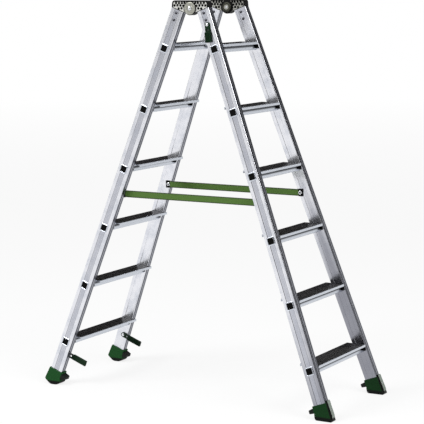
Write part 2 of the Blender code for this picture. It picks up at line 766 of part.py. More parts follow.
def make_catch(name, section, row, side, place, turn, reach):
    parent = sections[section]
    frame = on_face(*place, y_sign(section, row), side, turn)
    off_face = Matrix.Translation((0, 0, GAP))
    catch = add(name, catch_mesh(reach), "catch", parent, frame @ off_face)
    combine(catch, catch_grip(reach), "UNION")

    seat = CATCH_EYE_THICKNESS + 2 * GAP
    tip = -2 * STILE_WALL
    profile = pin_profile(CATCH_RIVET_HEAD, CATCH_RIVET_HEAD_HEIGHT, seat, CATCH_RIVET_SHANK, tip) + [(0, tip)]
    add(f"{name}_rivet", turned(profile, RIVET_STEPS), "bright", parent, frame)


# Assembly

for section in sections:
    for row in ("front", "back"):
        make_stile(section, row)
        make_foot(section, row)
        make_arm(section, row)
    for index in range(TREAD_COUNT):
        make_tread(section, index)

for row in ("front", "back"):
    make_pivot(row)
    make_strap(row)
    inwards = math.radians(90) * -y_sign("left", row)
    make_catch(f"{row}_low_catch", "left", row, "inner", LOW_CATCH_PLACE, inwards, LOW_CATCH_REACH)

make_catch("top_catch", "right", "front", "outer", TOP_CATCH_PLACE, TOP_CATCH_TURN, TOP_CATCH_REACH)
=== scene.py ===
import math

import bpy
import numpy as np

from mathutils import Matrix, Vector


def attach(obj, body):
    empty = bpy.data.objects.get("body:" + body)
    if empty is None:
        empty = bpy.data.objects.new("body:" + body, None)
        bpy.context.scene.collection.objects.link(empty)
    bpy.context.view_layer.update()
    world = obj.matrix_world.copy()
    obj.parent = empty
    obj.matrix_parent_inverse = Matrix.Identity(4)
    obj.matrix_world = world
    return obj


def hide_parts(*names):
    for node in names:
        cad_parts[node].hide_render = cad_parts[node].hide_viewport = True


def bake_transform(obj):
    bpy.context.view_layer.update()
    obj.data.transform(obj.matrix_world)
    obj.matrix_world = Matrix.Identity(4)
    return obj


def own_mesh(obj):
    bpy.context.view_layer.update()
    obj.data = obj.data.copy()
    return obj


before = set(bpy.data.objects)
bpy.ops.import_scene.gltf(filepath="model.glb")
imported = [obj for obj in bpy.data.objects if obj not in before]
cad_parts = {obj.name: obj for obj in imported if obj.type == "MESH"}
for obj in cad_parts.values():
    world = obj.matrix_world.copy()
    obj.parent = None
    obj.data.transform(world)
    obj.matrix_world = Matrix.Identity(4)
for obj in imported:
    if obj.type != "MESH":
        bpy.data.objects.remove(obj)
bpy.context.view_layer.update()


# Stiles
# Four aluminium box extrusions, sawn to length, that lean apart and flare towards the floor. The die
# leaves a shallow channel along each wide face and two fine grooves along each edge, and the holes are
# punched in.

SECTIONS = ("left", "right")
ROWS = ("front", "back")
GAP = 0.0003
HALF_ANGLE = math.radians(20.3)
SIN = math.sin(HALF_ANGLE)
COS = math.cos(HALF_ANGLE)
PIVOT_OFFSET = 0.0505
TOP_WIDTH = 0.3145
FLARE = 0.0555
FIRST_TREAD = 0.180
TREAD_PITCH = 0.250
TREAD_PLACES = FIRST_TREAD + TREAD_PITCH * np.arange(6)
STILE_DEPTH = 0.052
STILE_WIDTH = 0.030
STILE_WALL = 0.0022
STILE_ROUND = 0.003
STILE_BORE_ROUND = 0.001
STILE_TOP = 0.024
STILE_END = 1.595
SOLE_THICKNESS = 0.025
CHANNEL_HALF = 0.009
CHANNEL_DEPTH = 0.0008
CHANNEL_FLANK = 0.0014
GROOVE_MIDDLE = 0.005
GROOVE_SIDES = np.array([-0.0017, -0.0012, 0.0012, 0.0017])
TUBE_HALF = 0.014
TUBE_ROUND = 0.0024
RIVET_PLACES = (0.037, 0.065)
RIVET_SHANK = 0.004
STUD_PLACE = (-0.018, 0.780)
STUD_SHANK = 0.003
CATCH_SHANK = 0.0035
LOW_CATCH_PLACE = (-0.008, 1.488)
TOP_CATCH_PLACE = (0.002, 0.084)
FOOT_SCREW_S = 1.586
FOOT_SCREW_SHANK = 0.002
PIVOT_HEIGHT = (STILE_END + SOLE_THICKNESS) * COS - PIVOT_OFFSET * SIN
LEAN_RIGHT = np.array([[COS, 0, -SIN, 0], [0, 1, 0, 0], [SIN, 0, COS, PIVOT_HEIGHT], [0, 0, 0, 1]])
SECTION_PLACE = {"right": LEAN_RIGHT, "left": np.diag([-1, -1, 1, 1]) @ LEAN_RIGHT}


def y_sign(section, row):
    """Which way y runs in a section's own frame at its front or back stile: the left section is turned
    half round."""
    return 1 if (section == "left") == (row == "front") else -1


STILES = [(section, row, y_sign(section, row)) for section in SECTIONS for row in ROWS]


def outer_y(s):
    """Half of the ladder's outer width at s down the stile: it grows with the flare."""
    return TOP_WIDTH / 2 + FLARE * s


def moved(points, place):
    """Points carried by a 4 by 4 place: turned by its upper left part, then shifted by its last
    column."""
    return points @ place[:3, :3].T + place[:3, 3]


def on_face(n, s, sign, side, turn=0.0):
    """The place of a spot on a stile's wide face: z out of the face, x down the stile, then turned
    about z."""
    length = math.hypot(1, FLARE)
    normal = np.array([0, sign, FLARE]) / length
    y = outer_y(s)
    if side == "inner":
        normal = -normal
        y = y - STILE_WIDTH
    down = np.array([0, sign * FLARE, -1]) / length
    across = np.cross(normal, down)
    place = np.eye(4)
    place[:3, 0] = math.cos(turn) * down + math.sin(turn) * across
    place[:3, 1] = math.cos(turn) * across - math.sin(turn) * down
    place[:3, 2] = normal
    place[:3, 3] = PIVOT_OFFSET + n, sign * y, -s
    return place


def ring_faces(rings, around, wrap=False):
    """Four-cornered faces between neighbouring rings of points; wrap joins the last ring to the
    first."""
    i = np.arange(rings if wrap else rings - 1)[:, None]
    j = np.arange(around)[None, :]
    after = (i + 1) % rings
    beside = (j + 1) % around
    corners = [i * around + j, i * around + beside, after * around + beside, after * around + j]
    return np.stack(corners, axis=-1).reshape(-1, 4)


def tube_shell(rings):
    """Rings of points, as an array of ring by point by xyz, joined by faces and closed with a flat cap
    at each end."""
    count, around = rings.shape[:2]
    caps = np.arange(around)[None, :]
    return rings.reshape(-1, 3), [ring_faces(count, around), caps[:, ::-1], caps + (count - 1) * around]


def joined(shells):
    """Several shells, each points and faces, as one: corner numbers go up by the points that come
    before."""
    counts = [len(points) for points, faces in shells]
    starts = np.cumsum(counts) - counts
    faces = [f + start for (points, own), start in zip(shells, starts) for f in own]
    return np.concatenate([points for points, own in shells]), faces


def make_mesh(points, faces, uv=None):
    """A mesh from points and arrays of corner numbers. Its volume is summed over the faces' triangles,
    as products of each triangle's corners, and where that comes out negative every face is turned
    round."""
    volume = sum(
        np.einsum("ij,ij->", points[f[:, 0]], np.cross(points[f[:, k]], points[f[:, k + 1]]))
        for f in faces
        for k in range(1, f.shape[1] - 1)
    )
    if volume < 0:
        faces = [f[:, ::-1] for f in faces]
    mesh = bpy.data.meshes.new("piece")
    mesh.from_pydata(points.tolist(), [], [corners for f in faces for corners in f.tolist()])
    if uv is not None:
        flat = uv[:, ::-1] if volume < 0 else uv
        spread = np.zeros((len(mesh.loops), 2), np.float32)
        spread[: flat.shape[0] * flat.shape[1]] = flat.reshape(-1, 2)
        mesh.uv_layers.new(name="flat").data.foreach_set("uv", spread.ravel())
    mesh.update()
    return mesh


def combined(mesh, tools, operation):
    """The mesh with the tools' mesh cut out of it or joined on, by an exact Boolean. Both scratch
    objects go."""
    holders = [bpy.data.objects.new("work", mesh), bpy.data.objects.new("tools", tools)]
    for holder in holders:
        bpy.context.scene.collection.objects.link(holder)
    boolean = holders[0].modifiers.new("combine", "BOOLEAN")
    boolean.operation = operation
    boolean.object = holders[1]
    boolean.solver = "EXACT"
    graph = bpy.context.evaluated_depsgraph_get()
    made = bpy.data.meshes.new_from_object(holders[0].evaluated_get(graph), depsgraph=graph)
    for holder in holders:
        bpy.data.objects.remove(holder)
    for used in (mesh, tools):
        bpy.data.meshes.remove(used)
    return made


def square_rings(half, corner, y, turn=0.0):
    """Rounded squares in x and z, one ring for each row of half size, corner radius and y: a corner's
    centre lies at half less radius on both axes, and its arc runs a quarter turn round it. Each ring is
    then turned about y."""
    turns = np.broadcast_to(turn, half.shape)[:, None]
    angle = turns + (np.pi / 2) * (np.arange(4)[:, None] + np.linspace(0, 1, 6)[None, :]).ravel()
    quarter = turns + (np.pi / 2) * (np.repeat(np.arange(4), 6) + 0.5)
    offset = math.sqrt(2) * (half - corner)[:, None]
    x = offset * np.cos(quarter) + corner[:, None] * np.cos(angle)
    z = offset * np.sin(quarter) + corner[:, None] * np.sin(angle)
    return np.stack([x, np.broadcast_to(y[:, None], x.shape), z], axis=-1)


def level_in_section(points, s):
    """Points given level with the floor around a tread tube's centre, in the section's leaning
    frame."""
    x = PIVOT_OFFSET + points[..., 0] * COS + points[..., 2] * SIN
    z = points[..., 2] * COS - points[..., 0] * SIN - s
    return np.stack([x, points[..., 1], z], axis=-1)


def stacked(outline, levels):
    """An outline in x and y, once at each of several heights z."""
    return np.stack([np.column_stack([outline, np.full(len(outline), z)]) for z in levels])


def bar(place, radius, low, high, steps=32):
    """A round bar on a place's z axis from low to high: two circles of points."""
    angle = 2 * np.pi * np.arange(steps) / steps
    circle = np.stack([radius * np.cos(angle), radius * np.sin(angle)], axis=-1)
    points, faces = tube_shell(stacked(circle, (low, high)))
    return moved(points, place), faces


def foot_screw_place(sign):
    """The place of a foot's screw: on the stile's centre line, z pointing outwards along the section's
    x."""
    y = sign * (outer_y(FOOT_SCREW_S) - STILE_WIDTH / 2)
    return np.array([[0, 0, 1, PIVOT_OFFSET], [0, 1, 0, y], [-1, 0, 0, -FOOT_SCREW_S], [0, 0, 0, 1]])


def arc(start, end, count):
    """Points on a circle of radius 1, evenly from one angle to another."""
    angle = np.linspace(start, end, count)
    return np.column_stack([np.cos(angle), np.sin(angle)])


def stile_outline(a, b, corner, sink):
    """The stile's section as (n, y), and each point's distance along it from the middle of its wide
    face. A quarter runs from the edge past a groove, round the corner, over the wide face and down a
    flank into the channel."""
    groove = np.column_stack([a - sink * np.array([0, 1, 1, 0]), GROOVE_MIDDLE + GROOVE_SIDES])
    bend = corner * arc(0, np.pi / 2, 7) + (a - corner, b - corner)
    step = np.linspace(0, 1, 6)
    ease = step * step * (3 - 2 * step)
    flank = np.column_stack([CHANNEL_HALF + CHANNEL_FLANK * (1 - step), b - sink * ease])
    quarter = np.concatenate([groove, bend, flank, [[0, b - sink]]])
    legs = np.hypot(*np.diff(quarter, axis=0).T)
    reach = np.append(np.cumsum(legs[::-1])[::-1], 0)
    half = np.concatenate([quarter, quarter[-2::-1] * (-1, 1)])
    reach_half = np.concatenate([reach, reach[-2::-1]])
    return np.concatenate([half, -half]), np.concatenate([reach_half, reach_half])


outline, reach = stile_outline(STILE_DEPTH / 2, STILE_WIDTH / 2, STILE_ROUND, CHANNEL_DEPTH)
EDGE_MIDDLE = reach.max() + outline[0, 1]


def stile_shell(sign):
    """The extrusion: the outer outline at both sawn ends, then the bore's outline back up, joined into
    one skin. The flat map's first number is the distance round from the middle of the outer wide
    face."""
    outer, reach = stile_outline(STILE_DEPTH / 2, STILE_WIDTH / 2, STILE_ROUND, CHANNEL_DEPTH)
    bore_half = np.array([STILE_DEPTH, STILE_WIDTH]) / 2 - STILE_WALL
    bore, bore_reach = stile_outline(*bore_half, STILE_BORE_ROUND, 0.0)
    s = np.array([STILE_TOP, STILE_END, STILE_END, STILE_TOP])
    outlines = np.stack([outer, outer, bore, bore])
    centre = sign * (TOP_WIDTH - STILE_WIDTH) / 2 + sign * FLARE * s
    z = np.broadcast_to(-s[:, None], outlines.shape[:2])
    points = np.stack([PIVOT_OFFSET + outlines[..., 0], centre[:, None] + outlines[..., 1], z], axis=-1)
    faces = ring_faces(4, len(outer), wrap=True)
    reaches = np.stack([reach, reach, bore_reach, bore_reach])
    reaches = np.where(sign * outlines[..., 1] > 0, reaches, 2 * EDGE_MIDDLE - reaches).ravel()
    uv = np.stack([reaches[faces], -points.reshape(-1, 3)[faces][..., 2]], axis=-1)
    return points.reshape(-1, 3), [faces], uv


def rivet_holes(sign):
    """Bars through the stile where the rivets of the hinge go."""
    places = [on_face(0, s, sign, "outer") for s in RIVET_PLACES]
    return [bar(place, RIVET_SHANK + GAP, -2 * STILE_WIDTH, STILE_WIDTH) for place in places]


def stile_holes(section, row, sign):
    """The punched holes: a rounded square for each tread tube, square to the stile outside and level
    inside, and round ones for rivets, stud, catch and screw."""
    tools = []
    for s in TREAD_PLACES:
        centre = sign * (outer_y(s) - STILE_WIDTH / 2)
        y = centre + sign * STILE_WIDTH * np.array([-1, -0.5, 0.5, 1])
        turn = HALF_ANGLE * np.array([0, 0, 1, 1])
        prism = square_rings(np.full(4, TUBE_HALF + GAP), np.full(4, TUBE_ROUND), y, turn)
        tools.append(tube_shell(level_in_section(prism, s)))
    tools += rivet_holes(sign)
    spots = [(STUD_PLACE, "inner", STUD_SHANK)]
    if section == "left":
        spots.append((LOW_CATCH_PLACE, "inner", CATCH_SHANK))
    elif row == "front":
        spots.append((TOP_CATCH_PLACE, "outer", CATCH_SHANK))
    for spot, side, shank in spots:
        tools.append(bar(on_face(*spot, sign, side), shank + GAP, -2 * STILE_WALL, STILE_WALL))
    edge = STILE_DEPTH / 2
    screw = foot_screw_place(sign)
    tools.append(bar(screw, FOOT_SCREW_SHANK + GAP, edge - 2 * STILE_WALL, edge + STILE_WALL))
    return make_mesh(*joined(tools))


def hex_colour(text):
    """An sRGB hex colour as linear red, green, blue and alpha."""
    parts = np.array([int(text[i : i + 2], 16) for i in (1, 3, 5)]) / 255
    linear = np.where(parts <= 0.04045, parts / 12.92, ((parts + 0.055) / 1.055) ** 2.4)
    return (*linear.tolist(), 1.0)


def add_node(tree, kind, settings=None, links=None):
    """Adds a node: settings go to its properties or else to its sockets, and links join its sockets to
    outputs."""
    node = tree.nodes.new(f"ShaderNode{kind}")
    for key, value in (settings or {}).items():
        if isinstance(key, str) and hasattr(node, key):
            setattr(node, key, value)
        else:
            node.inputs[key].default_value = value
    for key, output in (links or {}).items():
        tree.links.new(output, node.inputs[key])
    return node


def new_material(name, **sockets):
    """A Principled material with its plain sockets set; returns the material, its tree and its
    shader."""
    material = bpy.data.materials.new(name)
    material.use_nodes = True
    tree = material.node_tree
    shader = tree.nodes["Principled BSDF"]
    for key, value in sockets.items():
        shader.inputs[key.replace("_", " ").title().replace("Ior", "IOR")].default_value = value
    return material, tree, shader


SHARP_ANGLE = math.radians(32)


def mesh_points(mesh):
    """The points of a mesh, as an array."""
    points = np.zeros(3 * len(mesh.vertices))
    mesh.vertices.foreach_get("co", points)
    return points.reshape(-1, 3)


def placed(mesh, section, s=None):
    """A mesh carried into the ladder's frame, from level with the floor at a tread where s is given."""
    points = mesh_points(mesh)
    if s is not None:
        points = level_in_section(points, s)
    mesh.vertices.foreach_set("co", moved(points, SECTION_PLACE[section]).astype(np.float32).ravel())
    mesh.update()
    return mesh


def new_piece(name, mesh, materials, body, nodes=(), paint=None):
    """A mesh as a finished piece on a body, smooth between edges sharper than the angle, standing for
    CAD nodes. Paint holds the material's number for each face. Large faces stay flat, as their normals
    weigh more."""
    mesh.name = name
    mesh.materials.clear()
    for material in materials:
        mesh.materials.append(material)
    if paint is not None:
        mesh.polygons.foreach_set("material_index", paint.astype(np.int32))
    mesh.shade_smooth()
    mesh.set_sharp_from_angle(angle=SHARP_ANGLE)
    piece = bpy.data.objects.new(name, mesh)
    bpy.context.scene.collection.objects.link(piece)
    flats = piece.modifiers.new("true_flats", "WEIGHTED_NORMAL")
    flats.keep_sharp = True
    flats.weight = 90
    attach(piece, body)
    if nodes:
        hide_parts(*nodes)
    return piece


def distance_from(tree, output, middle):
    """How far a value is from a middle one: their difference without its sign."""
    past = add_node(tree, "Math", {"operation": "SUBTRACT", 1: middle}, {0: output})
    return add_node(tree, "Math", {"operation": "ABSOLUTE"}, {0: past.outputs[0]})


def colour_laid_over(tree, tone, reads, begins, full, strength, colour):
    """Lays a colour over a tone, smoothly from nothing where a value begins to the strength where it is
    full. Returns the mask and the tone with the colour laid over it."""
    mask = add_node(
        tree,
        "MapRange",
        {"interpolation_type": "SMOOTHSTEP", "From Min": begins, "From Max": full, "To Max": strength},
        {"Value": reads},
    )
    laid = add_node(
        tree, "Mix", {"data_type": "RGBA", 7: hex_colour(colour)}, {0: mask.outputs[0], 6: tone.outputs[2]}
    )
    return mask, laid


# Extruded aluminium, mill finish: bright, with faint die lines along the length and cloudy handling
# marks. The channel's floor is duller, as the die drags there. The rest is painted light: the edges are
# darkened as a painted dark reflection, with a painted highlight on the rib between their grooves and
# painted shade in the grooves and on the channel's flanks, and the right section's stiles get painted
# shade towards the floor, starting higher up on the inner face.
stile_metal, tree, shader = new_material("extruded aluminium", metallic=1.0)
flat = add_node(tree, "UVMap", {"uv_map": "flat"})
lines_place = add_node(
    tree, "Mapping", {"Scale": (1 / 0.0016, 1 / 0.5, 1)}, {"Vector": flat.outputs[0]}
)
lines = add_node(tree, "TexNoise", {"Scale": 1.0, "Detail": 3.0}, {"Vector": lines_place.outputs[0]})
where = add_node(tree, "TexCoord")
marks = add_node(
    tree,
    "TexNoise",
    {"Scale": 1 / 0.05, "Detail": 6.0, "Roughness": 0.65},
    {"Vector": where.outputs["Object"]},
)
around = add_node(tree, "SeparateXYZ", links={"Vector": flat.outputs[0]})
from_edge = distance_from(tree, around.outputs["X"], EDGE_MIDDLE)
from_groove = distance_from(tree, from_edge.outputs[0], GROOVE_MIDDLE)
from_flank = distance_from(tree, around.outputs["X"], CHANNEL_HALF + CHANNEL_FLANK / 2)
spot = add_node(tree, "SeparateXYZ", links={"Vector": where.outputs["Object"]})
inwards = add_node(
    tree, "Math", {"operation": "MULTIPLY_ADD", 1: 3.0}, {0: around.outputs["X"], 2: spot.outputs["X"]}
)
tone = add_node(
    tree,
    "Mix",
    {"data_type": "RGBA", 6: hex_colour("#dcdde4"), 7: hex_colour("#f4f5f9")},
    {0: lines.outputs["Fac"]},
)
# What each layer reads, where it begins and is full, how strong it is, and its colour, from the lowest
# layer up. The clouds and the dull channel are the metal's own; the other layers are painted light.
STAINS_AND_PAINTED_LIGHT = {
    "clouds": (marks.outputs["Fac"], 0.42, 0.66, 0.36, "#b3bac8"),
    # Painted shade: the right section's stiles darken towards the floor, starting higher up on the inner
    # face.
    "painted_low_shade": (inwards.outputs[0], 0.46, 0.68, 0.9, "#85868f"),
    "dull": (around.outputs["X"], 0.0100, 0.0050, 0.65, "#a8abb6"),
    # Painted shade: thin dark lines on the channel's flanks.
    "flank": (from_flank.outputs[0], 0.0022, 0.0008, 0.7, "#7f818b"),
    # Painted dark reflection: every edge of the stile is darkened.
    "edge": (from_edge.outputs[0], 0.0142, 0.0122, 1.0, "#73757d"),
    # Painted highlight: a lighter line on the rib between the two grooves of each edge.
    "rib": (from_edge.outputs[0], 0.0034, 0.0026, 1.0, "#a6a8b0"),
    # Painted shade: dark lines in the grooves of each edge.
    "groove": (from_groove.outputs[0], 0.0021, 0.0013, 1.0, "#34353a"),
}
ADDED_ROUGHNESS = 0.12
masks = {}
for name, stain in STAINS_AND_PAINTED_LIGHT.items():
    masks[name], tone = colour_laid_over(tree, tone, *stain)
tree.links.new(tone.outputs[2], shader.inputs["Base Color"])
shine = add_node(
    tree,
    "MapRange",
    {"From Min": 0.3, "From Max": 0.7, "To Min": 0.15, "To Max": 0.27},
    {"Value": marks.outputs["Fac"]},
)
for name in ("dull", "edge"):
    shine = add_node(
        tree,
        "Math",
        {"operation": "MULTIPLY_ADD", 1: ADDED_ROUGHNESS},
        {0: masks[name].outputs[0], 2: shine.outputs[0]},
    )
tree.links.new(shine.outputs[0], shader.inputs["Roughness"])
relief = add_node(
    tree, "Bump", {"Strength": 0.03, "Distance": 0.0001}, {"Height": lines.outputs["Fac"]}
)
tree.links.new(relief.outputs[0], shader.inputs["Normal"])

for section, row, sign in STILES:
    mesh = combined(make_mesh(*stile_shell(sign)), stile_holes(section, row, sign), "DIFFERENCE")
    new_piece(
        f"{section}_{row}_stile_extrusion",
        placed(mesh, section),
        [stile_metal],
        f"{section}_section",
        [f"{section}_{row}_stile"],
    )


# Treads
# Twelve aluminium steps, six to a section: a grooved deck with two hanging lips, extruded in one with a
# square tube. The tube goes through both stiles and its ends are flared cold over their outer faces.

DECK_TOP = 0.0175
DECK_THICKNESS = 0.004
DECK_OUTER = 0.0235
DECK_TIP_GAP = 0.0021
LIP_HEIGHT = 0.010
LIP_THICKNESS = 0.0025
LIP_EDGE = 0.0006
DECK_INNER = (PIVOT_OFFSET + (DECK_TOP - LIP_HEIGHT) * SIN - DECK_TIP_GAP / 2) / COS
NOSE_ROUND = 0.0015
DECK_MARGIN = 0.0055
GROOVE_COUNT = 12
GROOVE_WIDTH = 0.0026
GROOVE_DEPTH = 0.0010
WALKED_DEPTH = 1.1 * GROOVE_DEPTH
TUBE_BORE = 0.012
# Half size, corner radius, height above the stile's face and share of the turn that sets the end square
# to the stile, from the bore over the flared rim to the tube.
FLARED_END = np.array(
    [
        (TUBE_BORE, 0.0020, -STILE_WIDTH, 0),
        (TUBE_BORE, 0.0020, 0.0010, 1),
        (0.0123, 0.0022, 0.0020, 1),
        (0.0130, 0.0026, 0.0025, 1),
        (0.0142, 0.0034, 0.0024, 1),
        (0.0155, 0.0044, 0.0018, 1),
        (0.0164, 0.0050, 0.0009, 1),
        (0.0164, 0.0050, 0.0003, 1),
        (0.0161, 0.0048, 0.0000, 1),
        (TUBE_HALF, TUBE_ROUND, 0.0000, 1),
        (TUBE_HALF, TUBE_ROUND, -STILE_WIDTH, 0),
    ]
)


def slanted(points):
    """Tread points with their ends slanted to the flared stiles: y goes out by the flare times the way
    down the stile."""
    down = points[..., 0] * SIN - points[..., 2] * COS
    shift = FLARE * down * np.sign(points[..., 1])
    return points + shift[..., None] * np.array([0, 1, 0])


def deck_outline():
    """The deck's section in x and z: up the inner lip, over a round nose, across the grooves to the
    outer nose, down the outer lip and back along the underside."""
    turn = np.linspace(0, np.pi / 2, 5)
    rise = NOSE_ROUND * np.column_stack([1 - np.cos(turn), np.sin(turn) - 1]) + (-DECK_INNER, DECK_TOP)
    fall = NOSE_ROUND * np.column_stack([np.sin(turn) - 1, np.cos(turn) - 1]) + (DECK_OUTER, DECK_TOP)
    middles = np.linspace(DECK_MARGIN - DECK_INNER, DECK_OUTER - DECK_MARGIN, GROOVE_COUNT)
    sides = GROOVE_WIDTH * np.array([-0.5, -0.3, 0.3, 0.5])
    floors = DECK_TOP - GROOVE_DEPTH * np.array([0, 1, 1, 0])
    grooves = np.column_stack([(middles[:, None] + sides).ravel(), np.tile(floors, GROOVE_COUNT)])
    hem = DECK_TOP - LIP_HEIGHT
    under = DECK_TOP - DECK_THICKNESS
    back = DECK_OUTER - LIP_THICKNESS
    outer_lip = [(DECK_OUTER, hem + LIP_EDGE), (DECK_OUTER - LIP_EDGE, hem), (back, hem), (back, under)]
    front = LIP_THICKNESS - DECK_INNER
    inner_lip = [(front, under), (front, hem), (LIP_EDGE - DECK_INNER, hem), (-DECK_INNER, hem + LIP_EDGE)]
    return np.concatenate([rise, grooves, fall, outer_lip, inner_lip])


def deck_shell(s):
    """The deck: its outline at both ends, between the inner faces of the stiles."""
    half = outer_y(s) - STILE_WIDTH - GAP
    return tube_shell(slanted(stacked(deck_outline(), (-half, half))[..., [0, 2, 1]]))


def tread_tube_shell(s):
    """The square tube: rings from one flared end along the outside to the other, and back through the
    bore."""
    half, corner, height, share = np.concatenate([FLARED_END, FLARED_END[::-1]]).T
    far = outer_y(s) + GAP + height
    y = np.where(np.arange(len(far)) < len(FLARED_END), far, -far)
    rings = slanted(square_rings(half, corner, y, share * HALF_ANGLE))
    return rings.reshape(-1, 3), [ring_faces(*rings.shape[:2], wrap=True)]


def level_map(mesh, half):
    """Adds a tread's flat map: each corner's height above the tube's middle, and its y as a share of
    half."""
    corners = np.zeros(len(mesh.loops), np.int32)
    mesh.loops.foreach_get("vertex_index", corners)
    _, y, z = mesh_points(mesh)[corners].T
    spread = np.stack([z, y / half], axis=-1).astype(np.float32)
    mesh.uv_layers.new(name="flat").data.foreach_set("uv", spread.ravel())


def face_centres(mesh):
    """The middle of each face of a mesh, as an array."""
    centres = np.zeros(3 * len(mesh.polygons))
    mesh.polygons.foreach_get("center", centres)
    return centres.reshape(-1, 3)


def dressed(tree, shader, colours, toned_by, roughness, dulled_by, bump=None, raised_by=None):
    """Gives a shader a colour that goes from the first to the second with one output and a roughness
    that does so with another. A bump is a relief's strength and height, raised by a third. Returns the
    tone's node."""
    tone = add_node(
        tree,
        "Mix",
        {"data_type": "RGBA", 6: hex_colour(colours[0]), 7: hex_colour(colours[1])},
        {0: toned_by},
    )
    tree.links.new(tone.outputs[2], shader.inputs["Base Color"])
    low, high = roughness
    shine = add_node(tree, "MapRange", {"To Min": low, "To Max": high}, {"Value": dulled_by})
    tree.links.new(shine.outputs[0], shader.inputs["Roughness"])
    if bump:
        strength, height = bump
        relief = add_node(tree, "Bump", {"Strength": strength, "Distance": height}, {"Height": raised_by})
        tree.links.new(relief.outputs[0], shader.inputs["Normal"])
    return tone


# Bare extruded aluminium on the lips, the tube and the flared rims: brighter than the stiles, lines
# along Y. A band of painted shade lies on the tube under the lips.
tread_metal, tree, shader = new_material("bright extruded aluminium", metallic=1.0)
where = add_node(tree, "TexCoord")
drawn = add_node(
    tree, "Mapping", {"Scale": (1 / 0.0014, 1 / 0.4, 1 / 0.0014)}, {"Vector": where.outputs["Object"]}
)
lines = add_node(tree, "TexNoise", {"Scale": 1.0, "Detail": 3.0}, {"Vector": drawn.outputs[0]})
line = lines.outputs["Fac"]
tone = dressed(tree, shader, ("#b7bdc7", "#dde1e8"), line, (0.18, 0.34), line, (0.03, 0.0001), line)
flat = add_node(tree, "UVMap", {"uv_map": "flat"})
spread = add_node(tree, "SeparateXYZ", links={"Vector": flat.outputs[0]})
near_lip = add_node(
    tree,
    "MapRange",
    {"interpolation_type": "SMOOTHSTEP", "From Min": -0.005, "From Max": 0.0015, "To Max": 0.95},
    {"Value": spread.outputs["X"]},
)
below_lip = add_node(
    tree, "Math", {"operation": "LESS_THAN", 1: DECK_TOP - LIP_HEIGHT - GAP}, {0: spread.outputs["X"]}
)
along = add_node(tree, "Math", {"operation": "ABSOLUTE"}, {0: spread.outputs["Y"]})
inside = add_node(tree, "Math", {"operation": "LESS_THAN", 1: 1.0}, {0: along.outputs[0]})
sheltered = add_node(
    tree, "Math", {"operation": "MULTIPLY"}, {0: below_lip.outputs[0], 1: inside.outputs[0]}
)
# Painted shade: a dark band on the tube just under the lips, between the stiles.
painted_lip_shade = add_node(
    tree, "Math", {"operation": "MULTIPLY"}, {0: near_lip.outputs[0], 1: sheltered.outputs[0]}
)
tone = add_node(
    tree,
    "Mix",
    {"data_type": "RGBA", 7: hex_colour("#1f232a")},
    {0: painted_lip_shade.outputs[0], 6: tone.outputs[2]},
)
tree.links.new(tone.outputs[2], shader.inputs["Base Color"])

# The walked-on faces of the tread's aluminium, painted near black as a painted dark reflection:
# charcoal with a dull shine, rubbed lighter in streaks and scuffs.
deck_painted_dark, tree, shader = new_material("deck with painted dark reflection", ior=1.5, specular_ior_level=0.38)
where = add_node(tree, "TexCoord")
drawn = add_node(
    tree, "Mapping", {"Scale": (1 / 0.003, 1 / 0.08, 1 / 0.003)}, {"Vector": where.outputs["Object"]}
)
streaks = add_node(tree, "TexNoise", {"Scale": 1.0, "Detail": 4.0}, {"Vector": drawn.outputs[0]})
scuffs = add_node(
    tree,
    "TexNoise",
    {"Scale": 1 / 0.02, "Detail": 6.0, "Roughness": 0.7},
    {"Vector": where.outputs["Object"]},
)
wear = add_node(
    tree, "Math", {"operation": "MULTIPLY"}, {0: streaks.outputs["Fac"], 1: scuffs.outputs["Fac"]}
)
rubbed_and_shaded = add_node(tree, "MapRange", {"From Min": 0.15, "From Max": 0.45}, {"Value": wear.outputs[0]})
dressed(
    tree,
    shader,
    ("#100f10", "#2a2829"),
    rubbed_and_shaded.outputs[0],
    (0.24, 0.34),
    rubbed_and_shaded.outputs[0],
    (0.06, 0.0003),
    scuffs.outputs["Fac"],
)

for section in SECTIONS:
    for number, s in enumerate(TREAD_PLACES, 1):
        mesh = combined(make_mesh(*tread_tube_shell(s)), make_mesh(*deck_shell(s)), "UNION")
        x, y, z = face_centres(mesh).T
        # The walked-on faces get the deck's painted dark reflection.
        walked = (x > NOSE_ROUND - DECK_INNER) & (x < DECK_OUTER - NOSE_ROUND)
        walked &= (z > DECK_TOP - WALKED_DEPTH) & (abs(y) < outer_y(s) - STILE_WIDTH)
        level_map(mesh, outer_y(s) - STILE_WIDTH)
        new_piece(
            f"{section}_tread_{number}_extrusion",
            placed(mesh, section, s),
            [tread_metal, deck_painted_dark],
            f"{section}_section",
            [f"{section}_tread_{number}"],
            paint=walked,
        )


# Tread plugs and end pads
# Black plastic plugs pressed into both ends of each tread tube, and near-black pads under the deck on both
# sides of the tube, against the stile. The pads are painted shade: dark blocks put where the shade under
# the deck's ends falls.

# Half size, corner radius, height above the stile's face and share of the turn, from the blind end to
# the dish.
PLUG_RINGS = np.array(
    [
        (0.0116, 0.0018, -0.0120, 0.6),
        (0.0116, 0.0018, 0.0008, 1),
        (0.0113, 0.0020, 0.0016, 1),
        (0.0104, 0.0022, 0.0019, 1),
        (0.0074, 0.0018, 0.0020, 1),
        (0.0068, 0.0016, 0.0013, 1),
        (0.0030, 0.0010, 0.0012, 1),
    ]
)
PAD_LENGTH = 0.006
PAD_FOOT = -0.008
PAD_OUTER = 0.0240
PAD_GAP = 0.0004
PAD_ROUND = 0.0015
PAD_EDGE = 0.0006
MOST_OF_SIDE = 0.48


